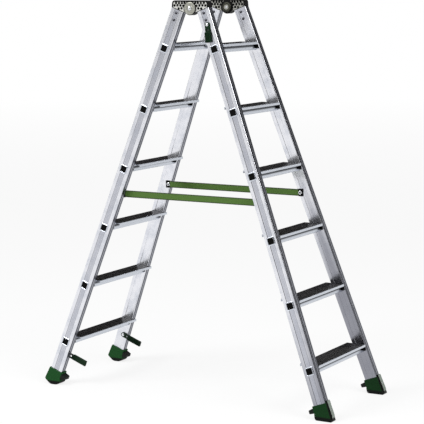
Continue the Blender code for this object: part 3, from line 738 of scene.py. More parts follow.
def eased(outline, cuts, count=5):
    """A closed outline with its corners rounded. A corner's curve leaves the side before it at the cut,
    at most just under half of that side, and reaches the next side as far on, with the corner as a
    quadratic control point."""
    back = np.roll(outline, 1, axis=0) - outline
    ahead = np.roll(outline, -1, axis=0) - outline
    back_length = np.hypot(*back.T)
    ahead_length = np.hypot(*ahead.T)
    back_cut = np.minimum(cuts, MOST_OF_SIDE * back_length)
    ahead_cut = np.minimum(cuts, MOST_OF_SIDE * ahead_length)
    start = outline + back * (back_cut / back_length)[:, None]
    end = outline + ahead * (ahead_cut / ahead_length)[:, None]
    w = np.linspace(0, 1, count)[None, :, None]
    curve = (1 - w) ** 2 * start[:, None] + 2 * w * (1 - w) * outline[:, None] + w**2 * end[:, None]
    return curve.reshape(-1, 2)


def slab_rings(outline, half, edge, steps=4):
    """An outline in x and z carried across a thickness along y. Near each face it draws in along its
    own normals by a quarter circle of the edge radius."""
    along = np.roll(outline, -1, axis=0) - np.roll(outline, 1, axis=0)
    normal = np.column_stack([along[:, 1], -along[:, 0]]) / np.hypot(*along.T)[:, None]
    x, z = outline.T
    turns_left = np.sum(x * np.roll(z, -1) - z * np.roll(x, -1)) > 0
    outward = normal if turns_left else -normal
    turn = np.linspace(0, np.pi / 2, steps)
    inset = edge * (1 - np.cos(turn))
    depth = half - edge * (1 - np.sin(turn))
    insets = np.concatenate([inset[::-1], inset])
    levels = np.concatenate([-depth[::-1], depth])
    flat = outline[None] - insets[:, None, None] * outward[None]
    y = np.broadcast_to(levels[:, None], flat.shape[:2])
    return np.stack([flat[..., 0], y, flat[..., 1]], axis=-1)


def pad_shells(s, sign):
    """Two pads beside a tread tube: the outer one is stepped round the deck's lip, the inner one is
    plain. Each is a slab set against the stile's inner face and slanted with the flare."""
    inside = TUBE_HALF + PAD_GAP
    ceiling = DECK_TOP - DECK_THICKNESS - PAD_GAP
    lip_back = DECK_OUTER - LIP_THICKNESS - PAD_GAP
    lip_foot = DECK_TOP - LIP_HEIGHT - PAD_GAP
    stepped = [
        (inside, ceiling),
        (lip_back, ceiling),
        (lip_back, lip_foot),
        (PAD_OUTER, lip_foot),
        (PAD_OUTER, PAD_FOOT),
        (inside, PAD_FOOT),
    ]
    plain = [(-inside, ceiling), (-PAD_OUTER, ceiling), (-PAD_OUTER, PAD_FOOT), (-inside, PAD_FOOT)]
    middle = sign * (outer_y(s) - STILE_WIDTH - GAP - PAD_LENGTH / 2)
    shells = []
    for outline in (stepped, plain):
        rings = slab_rings(eased(np.array(outline), PAD_ROUND), PAD_LENGTH / 2, PAD_EDGE)
        rings[..., 1] += middle
        shells.append(tube_shell(slanted(rings)))
    return shells


def mottled(name, colours, grain, roughness, band=None, bump=None, **sockets):
    """A material whose noise, in Object coordinates, leads from its first colour and roughness to its
    second. Grain is the noise's size in metres, its detail and its roughness, band the part of its
    range that is used, and bump the strength and height of its relief. Returns the material, its tree,
    its shader and the node of its tone."""
    material, tree, shader = new_material(name, **sockets)
    where = add_node(tree, "TexCoord")
    noise = add_node(
        tree,
        "TexNoise",
        {"Scale": 1 / grain[0], "Detail": grain[1], "Roughness": grain[2]},
        {"Vector": where.outputs["Object"]},
    )
    share = noise.outputs["Fac"]
    if band:
        used = add_node(tree, "MapRange", {"From Min": band[0], "From Max": band[1]}, {"Value": share})
        share = used.outputs[0]
    tone = dressed(tree, shader, colours, share, roughness, share, bump, noise.outputs["Fac"])
    return material, tree, shader, tone


# Black polyethylene, moulded: near black with a soft satin shine and a fine spark-eroded grain.
plug_plastic, *_ = mottled(
    "black polyethylene",
    ("#020202", "#080808"),
    (0.0008, 3.0, 0.5),
    (0.40, 0.60),
    bump=(0.2, 0.0002),
    ior=1.51,
    specular_ior_level=0.06,
)

for section, row, sign in STILES:
    for number, s in enumerate(TREAD_PLACES, 1):
        half, corner, height, share = PLUG_RINGS.T
        y = sign * (outer_y(s) + GAP + height)
        plug = slanted(square_rings(half, corner, y, share * HALF_ANGLE))
        # The pads, in the plugs' black plastic, stand as painted shade under the deck.
        for kind, shell in (("plug", tube_shell(plug)), ("pads", joined(pad_shells(s, sign)))):
            new_piece(
                f"{section}_tread_{number}_{row}_{kind}",
                placed(make_mesh(*shell), section, s),
                [plug_plastic],
                f"{section}_section",
            )


# Feet
# Four moulded green caps pushed over the stile ends, each held by one screw. The left ones are cut away
# to the outside, the right ones have a flat sole and an outer flange. A lug meets the other foot. The lug
# and the rebates beside the right feet's tongue are painted near black as shade, and the tongue's face
# is painted paler as a highlight.

FOOT_WALL = 0.004
FOOT_HALF = STILE_DEPTH / 2 + FOOT_WALL
FOOT_TOP = 1.556
FOOT_EDGE = 0.0010
TOE = (0.006, 0.022)
SOLE_OUTER_INSET = {"left": 0.026, "right": 0.0}
SOLE_INNER_INSET = {"left": 0.004, "right": -0.002}
HEEL = {"left": (0.008, 0.010), "right": (0.004, 0.008)}
FLANGE_RISE = 0.006
FLANGE_THICKNESS = 0.0035
LUG_REACH = 0.0008
LUG_TOP = FOOT_TOP + 0.011
LUG_FOOT = LUG_TOP + 0.014
TONGUE_HALF = 0.0105
SCREW_SEAT = FOOT_HALF + 0.0025
SCREW_HEAD = 0.004
SOCKET_DEPTH = 0.0393
SOCKET_ROUND = 0.0026
RIM_ROUND = 0.0017
FLANGE_ROOT_ROUND = 0.0006
TOE_ROUND = 0.006
SOLE_ROUND = {"left": 0.010, "right": 0.005}
HEEL_ROUND = 0.005
NECK_ROUND = 0.0012
LUG_SLOPE = 0.002
LUG_TOP_SLOPE = 0.004
LUG_ROOT_ROUND = 0.002
LUG_ROUND = 0.003
LUG_INSET = 0.0006
RUBBER_START = 0.0008
RUBBER_FOOT = 0.0018
HIGHLIGHT_START = 0.0025
TONGUE_MARGIN = 0.0002
REBATE_MARGIN = 0.0005
FLANGE_MARGIN = 0.0004
REBATE_WIDTH = 0.02
REBATE_HEIGHT = 0.12
REBATE_DROP = 0.02


def above_floor(n, height):
    """The section's x and z of a point at n across the stile and a height above the floor."""
    x = PIVOT_OFFSET + n
    return x, (height - PIVOT_HEIGHT - x * SIN) / COS


def box_shell(place, size):
    """A plain block around a place's origin, with full sizes along its axes."""
    a, b, c = np.array(size) / 2
    corners = np.array([(a, b), (-a, b), (-a, -b), (a, -b)])
    points, faces = tube_shell(stacked(corners, (-c, c)))
    return moved(points, place), faces


def foot_outline(section):
    """The foot seen along Y, with a corner cut for each point: rim, flange, toe, sole, heel and
    neck."""
    inside = PIVOT_OFFSET - FOOT_HALF
    outside = PIVOT_OFFSET + FOOT_HALF
    outer_round = RIM_ROUND if section == "left" else FLANGE_ROOT_ROUND
    rim = [(inside, -FOOT_TOP, RIM_ROUND), (outside, -FOOT_TOP, outer_round)]
    if section == "right":
        rise = FLANGE_RISE - FOOT_TOP
        rim += [(outside, rise, RIM_ROUND), (outside + FLANGE_THICKNESS, rise, RIM_ROUND)]
    heel_proud, heel_height = HEEL[section]
    sole = [
        (*above_floor(FOOT_HALF + TOE[0], TOE[1]), TOE_ROUND),
        (*above_floor(FOOT_HALF - SOLE_OUTER_INSET[section], 0), SOLE_ROUND[section]),
        (*above_floor(SOLE_INNER_INSET[section] - FOOT_HALF, 0), SOLE_ROUND[section]),
        (*above_floor(-FOOT_HALF - heel_proud, heel_height), HEEL_ROUND),
    ]
    neck = [(inside, -LUG_FOOT - LUG_SLOPE, NECK_ROUND)]
    corners = np.array(rim + sole + neck)
    return eased(corners[:, :2], corners[:, 2], 7)


def lug_outline():
    """The lug seen along Y: from a root inside the foot's wall it narrows a little to a blunt end."""
    root = PIVOT_OFFSET - FOOT_HALF + FOOT_WALL / 2
    corners = np.array(
        [
            (root, -LUG_FOOT - LUG_SLOPE, LUG_ROOT_ROUND),
            (LUG_REACH, -LUG_FOOT, LUG_ROUND),
            (LUG_REACH, -LUG_TOP, LUG_ROUND),
            (root, LUG_TOP_SLOPE - LUG_TOP, LUG_ROOT_ROUND),
        ]
    )
    return eased(corners[:, :2], corners[:, 2], 7)


def rebate_shells(sign):
    """Two blocks that take the outer side of a right foot back to its wall, on both sides of a middle
    tongue."""
    wall = PIVOT_OFFSET + FOOT_HALF - GAP
    shells = []
    for side in (-1, 1):
        place = np.eye(4)
        from_middle = side * (TONGUE_HALF + REBATE_WIDTH / 2)
        place[:3, 3] = wall + REBATE_WIDTH / 2, from_middle, -FOOT_TOP - REBATE_DROP
        points, faces = box_shell(place, (REBATE_WIDTH, REBATE_WIDTH, REBATE_HEIGHT))
        shells.append((along_stile(points, sign), faces))
    return shells


def along_stile(points, sign):
    """Points built around y = 0, moved onto a stile's centre line, which goes out by the flare on its
    way down."""
    shift = sign * ((TOP_WIDTH - STILE_WIDTH) / 2 - FLARE * points[..., 2])
    return points + shift[..., None] * np.array([0, 1, 0])


def socket_shell(sign):
    """The foot's socket: the stile's plain outline with a little play, from above the rim to the
    stile's end."""
    a = STILE_DEPTH / 2 + GAP
    b = STILE_WIDTH / 2 + GAP
    box = eased(np.array([(a, b), (-a, b), (-a, -b), (a, -b)]), SOCKET_ROUND)
    levels = (SOCKET_DEPTH - FOOT_TOP, -SOCKET_DEPTH - FOOT_TOP)
    box += (PIVOT_OFFSET, 0)
    return tube_shell(along_stile(stacked(box, levels), sign))


def polypropylene(name, dark, light):
    """Polypropylene coloured in the mass, moulded: satin, with a fine grain and pale scuffs. The last few
    millimetres above the floor are painted black as shade."""
    material, tree, shader, tone = mottled(
        name,
        (dark, light),
        (0.004, 5.0, 0.5),
        (0.38, 0.58),
        bump=(0.15, 0.0004),
        ior=1.49,
        specular_ior_level=0.12,
    )
    where = add_node(tree, "TexCoord")
    height = add_node(tree, "SeparateXYZ", links={"Vector": where.outputs["Object"]})
    # Painted shade: black over the last few millimetres above the floor.
    _, painted_sole_shade = colour_laid_over(tree, tone, height.outputs["Z"], 0.018, 0.011, 1.0, "#040705")
    tree.links.new(painted_sole_shade.outputs[2], shader.inputs["Base Color"])
    return material


foot_plastic = {
    "left": polypropylene("green polypropylene", "#0a2b11", "#1b5323"),
    "right": polypropylene("dark green polypropylene", "#031d08", "#0a3b13"),
}
# A paler copy of the green, painted on the right feet's tongue face as a highlight.
highlight_plastic = polypropylene("polypropylene, painted highlight", "#4c5a4e", "#a3aca4")

# Near black and matt, with a chalky bloom: painted shade on the lug and in the rebates, and the black top
# of the right feet's flange.
black_rubber_and_shade, *_ = mottled(
    "black rubber and painted shade",
    ("#040604", "#0e140f"),
    (0.006, 4.0, 0.5),
    (0.55, 0.8),
    ior=1.52,
    specular_ior_level=0.2,
)

for section, row, sign in STILES:
    half = STILE_WIDTH / 2 + FOOT_WALL
    body = tube_shell(along_stile(slab_rings(foot_outline(section), half, FOOT_EDGE), sign))
    lug = tube_shell(along_stile(slab_rings(lug_outline(), half - LUG_INSET, FOOT_EDGE), sign))
    screw = foot_screw_place(sign)
    cuts = [
        [socket_shell(sign)],
        [bar(screw, FOOT_SCREW_SHANK + GAP, STILE_DEPTH / 2 - STILE_WALL, SCREW_SEAT + FOOT_WALL)],
        [bar(screw, SCREW_HEAD + 2 * GAP, SCREW_SEAT, SCREW_SEAT + 2 * FOOT_WALL)],
    ]
    if section == "right":
        cuts.append(rebate_shells(sign))
    mesh = combined(make_mesh(*body), make_mesh(*lug), "UNION")
    for cut in cuts:
        mesh = combined(mesh, make_mesh(*joined(cut)), "DIFFERENCE")
    centres = face_centres(mesh)
    x, y, z = centres.T
    from_middle = abs(y - along_stile(centres * (1, 0, 1), sign)[:, 1])
    # Painted shade: the lug is coloured near black.
    is_lug = (x < PIVOT_OFFSET - FOOT_HALF - RUBBER_START) & (z > -LUG_FOOT - RUBBER_FOOT)
    paint = np.where(is_lug, 1, 0)
    if section == "right":
        outside = PIVOT_OFFSET + FOOT_HALF
        # Painted highlight: the tongue's outer face is paler.
        paint[(x > outside + HIGHLIGHT_START) & (from_middle < TONGUE_HALF - TONGUE_MARGIN)] = 2
        # Painted shade: the rebate floors and the tongue's sides are black; the flange's top is black as
        # well.
        beside = (x > outside - REBATE_MARGIN) & (from_middle > TONGUE_HALF - TONGUE_MARGIN)
        above = (x > outside) & (z > FLANGE_RISE - FOOT_TOP - FLANGE_MARGIN)
        paint[beside | above] = 1
    new_piece(
        f"{section}_{row}_foot_moulding",
        placed(mesh, section),
        [foot_plastic[section], black_rubber_and_shade, highlight_plastic],
        f"{section}_section",
        [f"{section}_{row}_foot"],
        paint=paint,
    )


# Foot screws
# Plated steel pan-head screws, one through the outer side of each foot into the stile, with a cross
# recess.

SCREW_HEAD_HEIGHT = 0.0022
SCREW_TIP = STILE_DEPTH / 2 - 2 * STILE_WALL
SCREW_POINT = 0.0008
RECESS_LENGTH = 0.0044
RECESS_WIDTH = 0.0009
RECESS_DEPTHS = (0.0022, 0.0023)


def turned_shell(profile, place, steps=40, hollow=False):
    """A profile of radius and height turned about a place's z axis. A hollow one closes on itself; a
    solid one has a flat cap at each end."""
    radius, height = np.array(profile).T
    angle = 2 * np.pi * np.arange(steps) / steps
    x = radius[:, None] * np.cos(angle)
    y = radius[:, None] * np.sin(angle)
    rings = np.stack([x, y, np.broadcast_to(height[:, None], x.shape)], axis=-1)
    rings = moved(rings, place)
    if hollow:
        return rings.reshape(-1, 3), [ring_faces(*rings.shape[:2], wrap=True)]
    return tube_shell(rings)


def domed_head(radius, height, seat):
    """The side of a low round head, from near its middle down to its seat: the height falls with the
    square of the radius and ends in a short upright edge."""
    share = np.linspace(0.15, 1, 8)
    rise = seat + height * (0.25 + 0.75 * (1 - share**2))
    return [*zip(radius * share, rise), (radius, seat)]


# Zinc-plated steel: bright and slightly blue, with fine scratches that catch the light.
bright_steel, *_ = mottled(
    "zinc plated steel", ("#c9ccd0", "#eceef0"), (0.003, 6.0, 0.65), (0.12, 0.34), metallic=1.0
)

for section, row, sign in STILES:
    place = foot_screw_place(sign)
    profile = domed_head(SCREW_HEAD, SCREW_HEAD_HEIGHT, SCREW_SEAT + GAP)
    profile += [(FOOT_SCREW_SHANK, SCREW_SEAT + GAP), (FOOT_SCREW_SHANK, SCREW_TIP)]
    profile += [(SCREW_POINT, SCREW_TIP - SCREW_POINT)]
    cross = place.copy()
    cross[:3, 3] += place[:3, 2] * (SCREW_SEAT + GAP + SCREW_HEAD_HEIGHT)
    slots = [
        box_shell(cross, (RECESS_LENGTH, RECESS_WIDTH, RECESS_DEPTHS[0])),
        box_shell(cross, (RECESS_WIDTH, RECESS_LENGTH, RECESS_DEPTHS[1])),
    ]
    mesh = make_mesh(*turned_shell(profile, place))
    for slot in slots:
        mesh = combined(mesh, make_mesh(*slot), "DIFFERENCE")
    new_piece(
        f"{section}_{row}_foot_screw_turned",
        placed(mesh, section),
        [bright_steel],
        f"{section}_section",
        [f"{section}_{row}_foot_screw"],
    )


# Hinge arms
# Die-cast alloy arms that cap the stiles, with a tongue riveted inside. The left arm ends in a fork,
# and the right arm's head turns in it. Both faces carry a lattice of small pockets whose ribs are
# ground bright.

HINGE_FACE = TOP_WIDTH / 2 + FLARE * STILE_TOP
HEAD_RADIUS = 0.026
HEAD_CLEARANCE = 0.0008
CHEEK = 0.006
HINGE_TOP = HEAD_RADIUS + 0.004
HINGE_END = (PIVOT_OFFSET + STILE_DEPTH / 2) * COS + STILE_TOP * SIN - 0.0015
HINGE_CORNER = 0.011
HEAD_FOOT_ANGLE = math.radians(325)
NOSE_GAP = 0.0004
ARM_EDGE = 0.0008
BARREL_RADIUS = 0.010
TONGUE_INSET = STILE_WALL + 0.0006
TONGUE_ROOT = STILE_TOP - 0.005
TONGUE_END = STILE_TOP + 0.054
FIELD_BORDER = 0.0020
# The top border is wider than the rest: its dark paint also stands as painted shade along the arm's top.
FIELD_TOP_BORDER = 0.0058
FIELD_END_BORDER = 0.0062
FIELD_CORNER = 0.006
FIELD_DEPTH = 0.0004
POCKET_PITCH = 0.0120
POCKET_RADIUS = 0.0056
POCKET_DEPTH = 0.0032
POCKET_WANDER = 0.0011
POCKET_CLEARANCE = 0.3 * POCKET_RADIUS


def upright(points):
    """Points level with the floor, x outwards and z up from the hinge axis, in the section's leaning
    frame."""
    x, z = np.asarray(points).T
    return np.column_stack([x * COS + z * SIN, z * COS - x * SIN])


def arm_outline(head_radius):
    """The arm seen along Y: flat on the stile, round at the far top corner, level along the top to the
    nose at the middle, and round the head to its foot."""
    foot = -(STILE_TOP - GAP)
    cap = [(PIVOT_OFFSET - STILE_DEPTH / 2, foot), (PIVOT_OFFSET + STILE_DEPTH / 2, foot)]
    end = HINGE_CORNER * arc(0, np.pi / 2, 9) + (HINGE_END - HINGE_CORNER, HINGE_TOP - HINGE_CORNER)
    head = head_radius * arc(np.pi / 2 - NOSE_GAP / head_radius, HEAD_FOOT_ANGLE, 49)
    return np.concatenate([cap, upright(end), upright([(NOSE_GAP, HINGE_TOP)]), upright(head)])


def field_outline():
    """The lattice's field in the section's frame: the arm's outline drawn in by its borders at the
    foot, the outer end and the top, round at the far corner, and closed by an arc about the hinge
    axis."""
    ring = HEAD_RADIUS + HEAD_CLEARANCE + FIELD_BORDER / 2
    level_top = HINGE_TOP - FIELD_TOP_BORDER
    foot = FIELD_BORDER + GAP - STILE_TOP
    corner = (HINGE_END - FIELD_END_BORDER - FIELD_CORNER, level_top - FIELD_CORNER)
    end = FIELD_CORNER * arc(0, np.pi / 2, 9) + corner
    first = math.asin(level_top / ring) - HALF_ANGLE
    last = math.asin(foot / ring)
    side = PIVOT_OFFSET + STILE_DEPTH / 2 - FIELD_END_BORDER
    return np.concatenate([[(side, foot)], upright(end), ring * arc(first, last, 21)])


def pocket_middles(outline):
    """A staggered grid of pocket centres: those inside the outline and clear of its sides. A point is
    inside when a line from it to the right crosses the outline an odd number of times."""
    rows, columns = np.meshgrid(np.arange(-8, 9), np.arange(-4, 14), indexing="ij")
    rows = rows.ravel()
    columns = columns.ravel()
    x = POCKET_PITCH * (columns + 0.5 * (rows % 2))
    z = POCKET_PITCH * math.sqrt(0.75) * rows
    wander = POCKET_WANDER * np.sin(np.column_stack([5.1 * columns + rows, 3.7 * rows + columns]))
    grid = upright(np.column_stack([x, z]) + wander)
    start = outline[None]
    end = np.roll(outline, -1, axis=0)[None]
    spans = (start[..., 1] > grid[:, None, 1]) != (end[..., 1] > grid[:, None, 1])
    slope = (grid[:, None, 1] - start[..., 1]) / (end[..., 1] - start[..., 1] + 1e-12)
    crosses = spans & (grid[:, None, 0] < start[..., 0] + slope * (end[..., 0] - start[..., 0]))
    inside = crosses.sum(axis=1) % 2 == 1
    leg = end - start
    share = np.einsum("ijk,ijk->ij", grid[:, None] - start, leg) / np.einsum("ijk,ijk->ij", leg, leg)
    nearest = start + np.clip(share, 0, 1)[..., None] * leg
    clear = np.linalg.norm(grid[:, None] - nearest, axis=-1).min(axis=1) > POCKET_CLEARANCE
    return grid[inside & clear]


def hinge_axis_place(sign):
    """The place on the hinge axis at the arm's outer face: z out of the ladder, along y, and x along
    the section's x."""
    return np.array([[1, 0, 0, 0], [0, 0, sign, sign * HINGE_FACE], [0, -sign, 0, 0], [0, 0, 0, 1]])


def arm_mesh(section, sign):
    """The casting: a slab with small round edges and a tongue, less the fork or the cheeks, the holes
    and pockets."""
    fork = section == "left"
    outline = arm_outline(HEAD_RADIUS if fork else HEAD_RADIUS - HEAD_CLEARANCE)
    middle = sign * (HINGE_FACE - STILE_WIDTH / 2)
    rings = slab_rings(outline, STILE_WIDTH / 2, ARM_EDGE, 3) + np.array([0, middle, 0])
    tongue_place = np.eye(4)
    tongue_place[:3, 3] = PIVOT_OFFSET, 0, -(TONGUE_ROOT + TONGUE_END) / 2
    tongue_size = (STILE_DEPTH - 2 * TONGUE_INSET, STILE_WIDTH - 2 * TONGUE_INSET, TONGUE_END - TONGUE_ROOT)
    points, faces = box_shell(tongue_place, tongue_size)
    mesh = combined(make_mesh(*tube_shell(rings)), make_mesh(along_stile(points, sign), faces), "UNION")
    axis = hinge_axis_place(sign)
    swing = HEAD_RADIUS + HEAD_CLEARANCE
    if fork:
        gaps = [bar(axis, swing, CHEEK - STILE_WIDTH, -CHEEK, 96)]
    else:
        gaps = [
            bar(axis, swing, -CHEEK - GAP, CHEEK, 96),
            bar(axis, swing, -STILE_WIDTH - CHEEK, CHEEK + GAP - STILE_WIDTH, 96),
        ]
    mesh = combined(mesh, make_mesh(*joined(gaps)), "DIFFERENCE")
    barrel = bar(axis, BARREL_RADIUS + GAP, -2 * STILE_WIDTH, STILE_WIDTH, 48)
    mesh = combined(mesh, make_mesh(*joined([barrel, *rivet_holes(sign)])), "DIFFERENCE")
    field = field_outline()
    recesses = []
    pockets = []
    for face in (HINGE_FACE, HINGE_FACE - STILE_WIDTH):
        levels = (sign * face - FIELD_DEPTH, sign * face + FIELD_DEPTH)
        recesses.append(tube_shell(stacked(field, levels)[..., [0, 2, 1]]))
        for x, z in pocket_middles(field):
            place = np.array([[1, 0, 0, x], [0, 0, 1, sign * face], [0, -1, 0, z], [0, 0, 0, 1]])
            pockets.append(bar(place, POCKET_RADIUS, -POCKET_DEPTH, POCKET_DEPTH, 6))
    mesh = combined(mesh, make_mesh(*joined(recesses)), "DIFFERENCE")
    return combined(mesh, make_mesh(*joined(pockets)), "DIFFERENCE")


# Aluminium die casting under dark grey paint: satin, pitted, with paler worn spots.
dark_casting, *_ = mottled(
    "painted die casting",
    ("#020202", "#100f10"),
    (0.0045, 6.0, 0.7),
    (0.55, 0.35),
    band=(0.40, 0.70),
    bump=(0.35, 0.0005),
    ior=1.5,
    specular_ior_level=0.12,
)

# The same casting where it is ground flat: bare grey alloy with dark pores. On the inner faces it
# has a darker copy, painted shade, with much dark between the bright spots.
bare = {"grain": (0.003, 6.0, 0.7), "roughness": (0.55, 0.30), "band": (0.35, 0.62), "metallic": 1.0}
ground_casting, *_ = mottled("ground die casting", ("#a4a4a2", "#f6f6f0"), **bare)
shaded_ground_casting, *_ = mottled("ground die casting, painted shade", ("#0c0c0c", "#d4d4cc"), **bare)

for section, row, sign in STILES:
    mesh = arm_mesh(section, sign)
    depth = HINGE_FACE - abs(face_centres(mesh)[:, 1])
    ground = np.isclose(depth, FIELD_DEPTH, atol=1e-5)
    # Painted shade: the inner faces' field gets the darker copy.
    rubbed_and_shaded = np.isclose(depth, STILE_WIDTH - FIELD_DEPTH, atol=1e-5)
    new_piece(
        f"{row}_hinge_{section}_casting",
        placed(mesh, section),
        [dark_casting, ground_casting, shaded_ground_casting],
        f"{section}_section",
        [f"{row}_hinge_{section}_arm"],
        paint=ground + 2 * rubbed_and_shaded,
    )


# Hinge rivets
# Dark steel rivets, two through each stile and the tongue inside it, with a low round head at
# both ends.

RIVET_HEAD = 0.0056
RIVET_HEAD_HEIGHT = 0.0028

# Dark steel, with a dull oily shine and brighter rubbed spots.
rivet_steel, *_ = mottled(
    "dark steel", ("#26262a", "#5c5c62"), (0.003, 5.0, 0.5), (0.45, 0.28), metallic=1.0
)

for section, row, sign in STILES:
    seat = GAP - CHANNEL_DEPTH
    tail = -STILE_WIDTH - seat
    far_head = [(r, seat + tail - z) for r, z in domed_head(RIVET_HEAD, RIVET_HEAD_HEIGHT, seat)]
    profile = domed_head(RIVET_HEAD, RIVET_HEAD_HEIGHT, seat)
    profile += [(RIVET_SHANK, seat), (RIVET_SHANK, tail)] + far_head[::-1]
    for number, s in enumerate(RIVET_PLACES, 1):
        place = on_face(0, s, sign, "outer")
        new_piece(
            f"{row}_hinge_{section}_rivet_{number}_turned",
            placed(make_mesh(*turned_shell(profile, place)), section),
            [rivet_steel],
            f"{section}_section",
            [f"{row}_hinge_{section}_rivet_{number}"],
        )


# Hinge pivots, nuts, lock springs and lock buttons
# A turned steel barrel with a wide flange goes through both arms, with a ring nut inside. A sprung
# button slides in its bore.

FLANGE_RADIUS = 0.024
FLANGE_FACE = GAP + 0.003
FLANGE_RIM = 0.0016
FLANGE_CHAMFER = 0.0004
TURNED_RING = (0.0128, 0.0134, 0.0148, 0.0154)
TURNED_RING_DEPTH = 0.0007
BARREL_END = -STILE_WIDTH - GAP - 0.006
BUTTON_RADIUS = 0.008
BUTTON_PROUD = 0.007
BUTTON_DOME = 0.003
BUTTON_DEPTH = 0.005
STEM_RADIUS = 0.0049
STEM_INSET = 0.001
SPRING_ROOM = 0.009
SPRING_WIRE = 0.0006
SPRING_TURNS = 4
NUT_RADIUS = 0.019


def pivot_profile():
    """Half of the barrel: over the flange with a turned ring in it and a rounded rim, down the barrel,
    up its bore."""
    bore = BUTTON_RADIUS + GAP
    turn = np.linspace(0, np.pi / 2, 5)
    rim_radius = FLANGE_RADIUS - FLANGE_RIM + FLANGE_RIM * np.sin(turn)
    rim_height = FLANGE_FACE - FLANGE_RIM + FLANGE_RIM * np.cos(turn)
    sunk = FLANGE_FACE - TURNED_RING_DEPTH
    stem = STEM_RADIUS + GAP
    floor = -BUTTON_DEPTH - SPRING_ROOM
    return [
        (bore, FLANGE_FACE - FLANGE_CHAMFER),
        (bore + FLANGE_CHAMFER, FLANGE_FACE),
        *zip(TURNED_RING, (FLANGE_FACE, sunk, sunk, FLANGE_FACE)),
        *zip(rim_radius, rim_height),
        (FLANGE_RADIUS, GAP),
        (BARREL_RADIUS, GAP),
        (BARREL_RADIUS, BARREL_END),
        (stem, BARREL_END),
        (stem, floor),
        (bore, floor),
    ]


def spring_shell(place):
    """The lock spring: a circle of wire carried along a helix, in the radius and height directions of
    each point."""
    turns = np.linspace(0, 2 * np.pi * SPRING_TURNS, 32 * SPRING_TURNS + 1)
    wire = 2 * np.pi * np.arange(8) / 8
    margin = SPRING_WIRE + GAP
    climb = np.linspace(-BUTTON_DEPTH - margin, margin - BUTTON_DEPTH - SPRING_ROOM, len(turns))
    radius = (BUTTON_RADIUS + STEM_RADIUS) / 2 + SPRING_WIRE * np.cos(wire)[None, :]
    x = radius * np.cos(turns)[:, None]
    y = radius * np.sin(turns)[:, None]
    z = climb[:, None] + SPRING_WIRE * np.sin(wire)[None, :]
    return tube_shell(moved(np.stack([x, y, z], axis=-1), place))


LATHE_PITCH = 0.0011


def lathe_steel(name, dark, light):
    """A steel with fine rings round the hinge axis, one for each LATHE_PITCH, and a tone that wanders
    slowly from dark to light."""
    steel, tree, shader = new_material(name, metallic=1.0)
    where = add_node(tree, "TexCoord")
    centred = add_node(
        tree, "Mapping", {"Location": (0, 0, -PIVOT_HEIGHT)}, {"Vector": where.outputs["Object"]}
    )
    lathe = add_node(
        tree,
        "TexWave",
        {
            "wave_type": "RINGS",
            "rings_direction": "Y",
            "Scale": 2 * math.pi / (20 * LATHE_PITCH),
            "Distortion": 0.4,
        },
        {"Vector": centred.outputs[0]},
    )
    stain = add_node(
        tree, "TexNoise", {"Scale": 1 / 0.008, "Detail": 4.0}, {"Vector": where.outputs["Object"]}
    )
    rings = lathe.outputs["Fac"]
    dressed(tree, shader, (dark, light), stain.outputs["Fac"], (0.30, 0.48), rings, (0.2, 0.0003), rings)
    return steel


# Turned steel, lightly oiled: a warm grey with fine rings from the lathe. The rings are drawn about
# four times as wide as real ones so that they show. The nuts, on the inner side of the hinges, get a
# darker copy as painted shade and show as dark rings inside the castings.
turned_steel = lathe_steel("turned steel", "#86867d", "#b9b9b0")
shaded_turned_steel = lathe_steel("turned steel, painted shade", "#26261f", "#585850")

nut_seat = -STILE_WIDTH - GAP
NUT_PROFILE = [
    (BARREL_RADIUS + GAP, nut_seat),
    (NUT_RADIUS, nut_seat),
    (NUT_RADIUS, nut_seat - 0.0040),
    (NUT_RADIUS - 0.0008, nut_seat - 0.0050),
    (NUT_RADIUS - 0.0024, nut_seat - 0.0060),
    (BARREL_RADIUS + GAP + 0.0005, nut_seat - 0.0060),
    (BARREL_RADIUS + GAP, nut_seat - 0.0055),
]
dome = np.linspace(0.15, 1, 8)
BUTTON_PROFILE = [
    *zip(BUTTON_RADIUS * dome, BUTTON_PROUD - BUTTON_DOME * dome**2.4),
    (BUTTON_RADIUS, -BUTTON_DEPTH),
    (STEM_RADIUS, -BUTTON_DEPTH),
    (STEM_RADIUS, BARREL_END + STEM_INSET),
]

for row in ROWS:
    axis = hinge_axis_place(y_sign("left", row))
    turned = (
        ("hinge_pivot", pivot_profile(), 72, True, turned_steel, "left_section", "pivot_steel"),
        ("hinge_nut", NUT_PROFILE, 72, True, shaded_turned_steel, "left_section", "pivot_steel"),
        ("lock_button", BUTTON_PROFILE, 56, False, bright_steel, f"{row}_lock_button", "bright_steel"),
    )
    for part, profile, steps, hollow, steel, body, slot in turned:
        mesh = make_mesh(*turned_shell(profile, axis, steps, hollow))
        new_piece(f"{row}_{part}_turned", placed(mesh, "left"), [steel], body, [f"{row}_{part}"])
    spring = new_piece(
        f"{row}_lock_spring_wire",
        placed(make_mesh(*spring_shell(axis)), "left"),
        [bright_steel],
        "left_section",
        [f"{row}_lock_spring"],
    )
    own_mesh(spring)


# Straps
# Two bands of woven green webbing that stop the sections from spreading. Each is level between the
# inner faces of the stiles and held at both ends by a stud.

STRAP_WIDTH = 0.027
STRAP_THICKNESS = 0.0016
STRAP_END = 0.011
STRAP_STAND_OFF = 0.0011
STUD_X = (PIVOT_OFFSET + STUD_PLACE[0]) * COS + STUD_PLACE[1] * SIN
STRAP_HEIGHT = PIVOT_HEIGHT + (PIVOT_OFFSET + STUD_PLACE[0]) * SIN - STUD_PLACE[1] * COS
STRAP_HALF = STUD_X + STRAP_END
STRAP_STEPS = 161
STRAP_PUNCH = 0.004


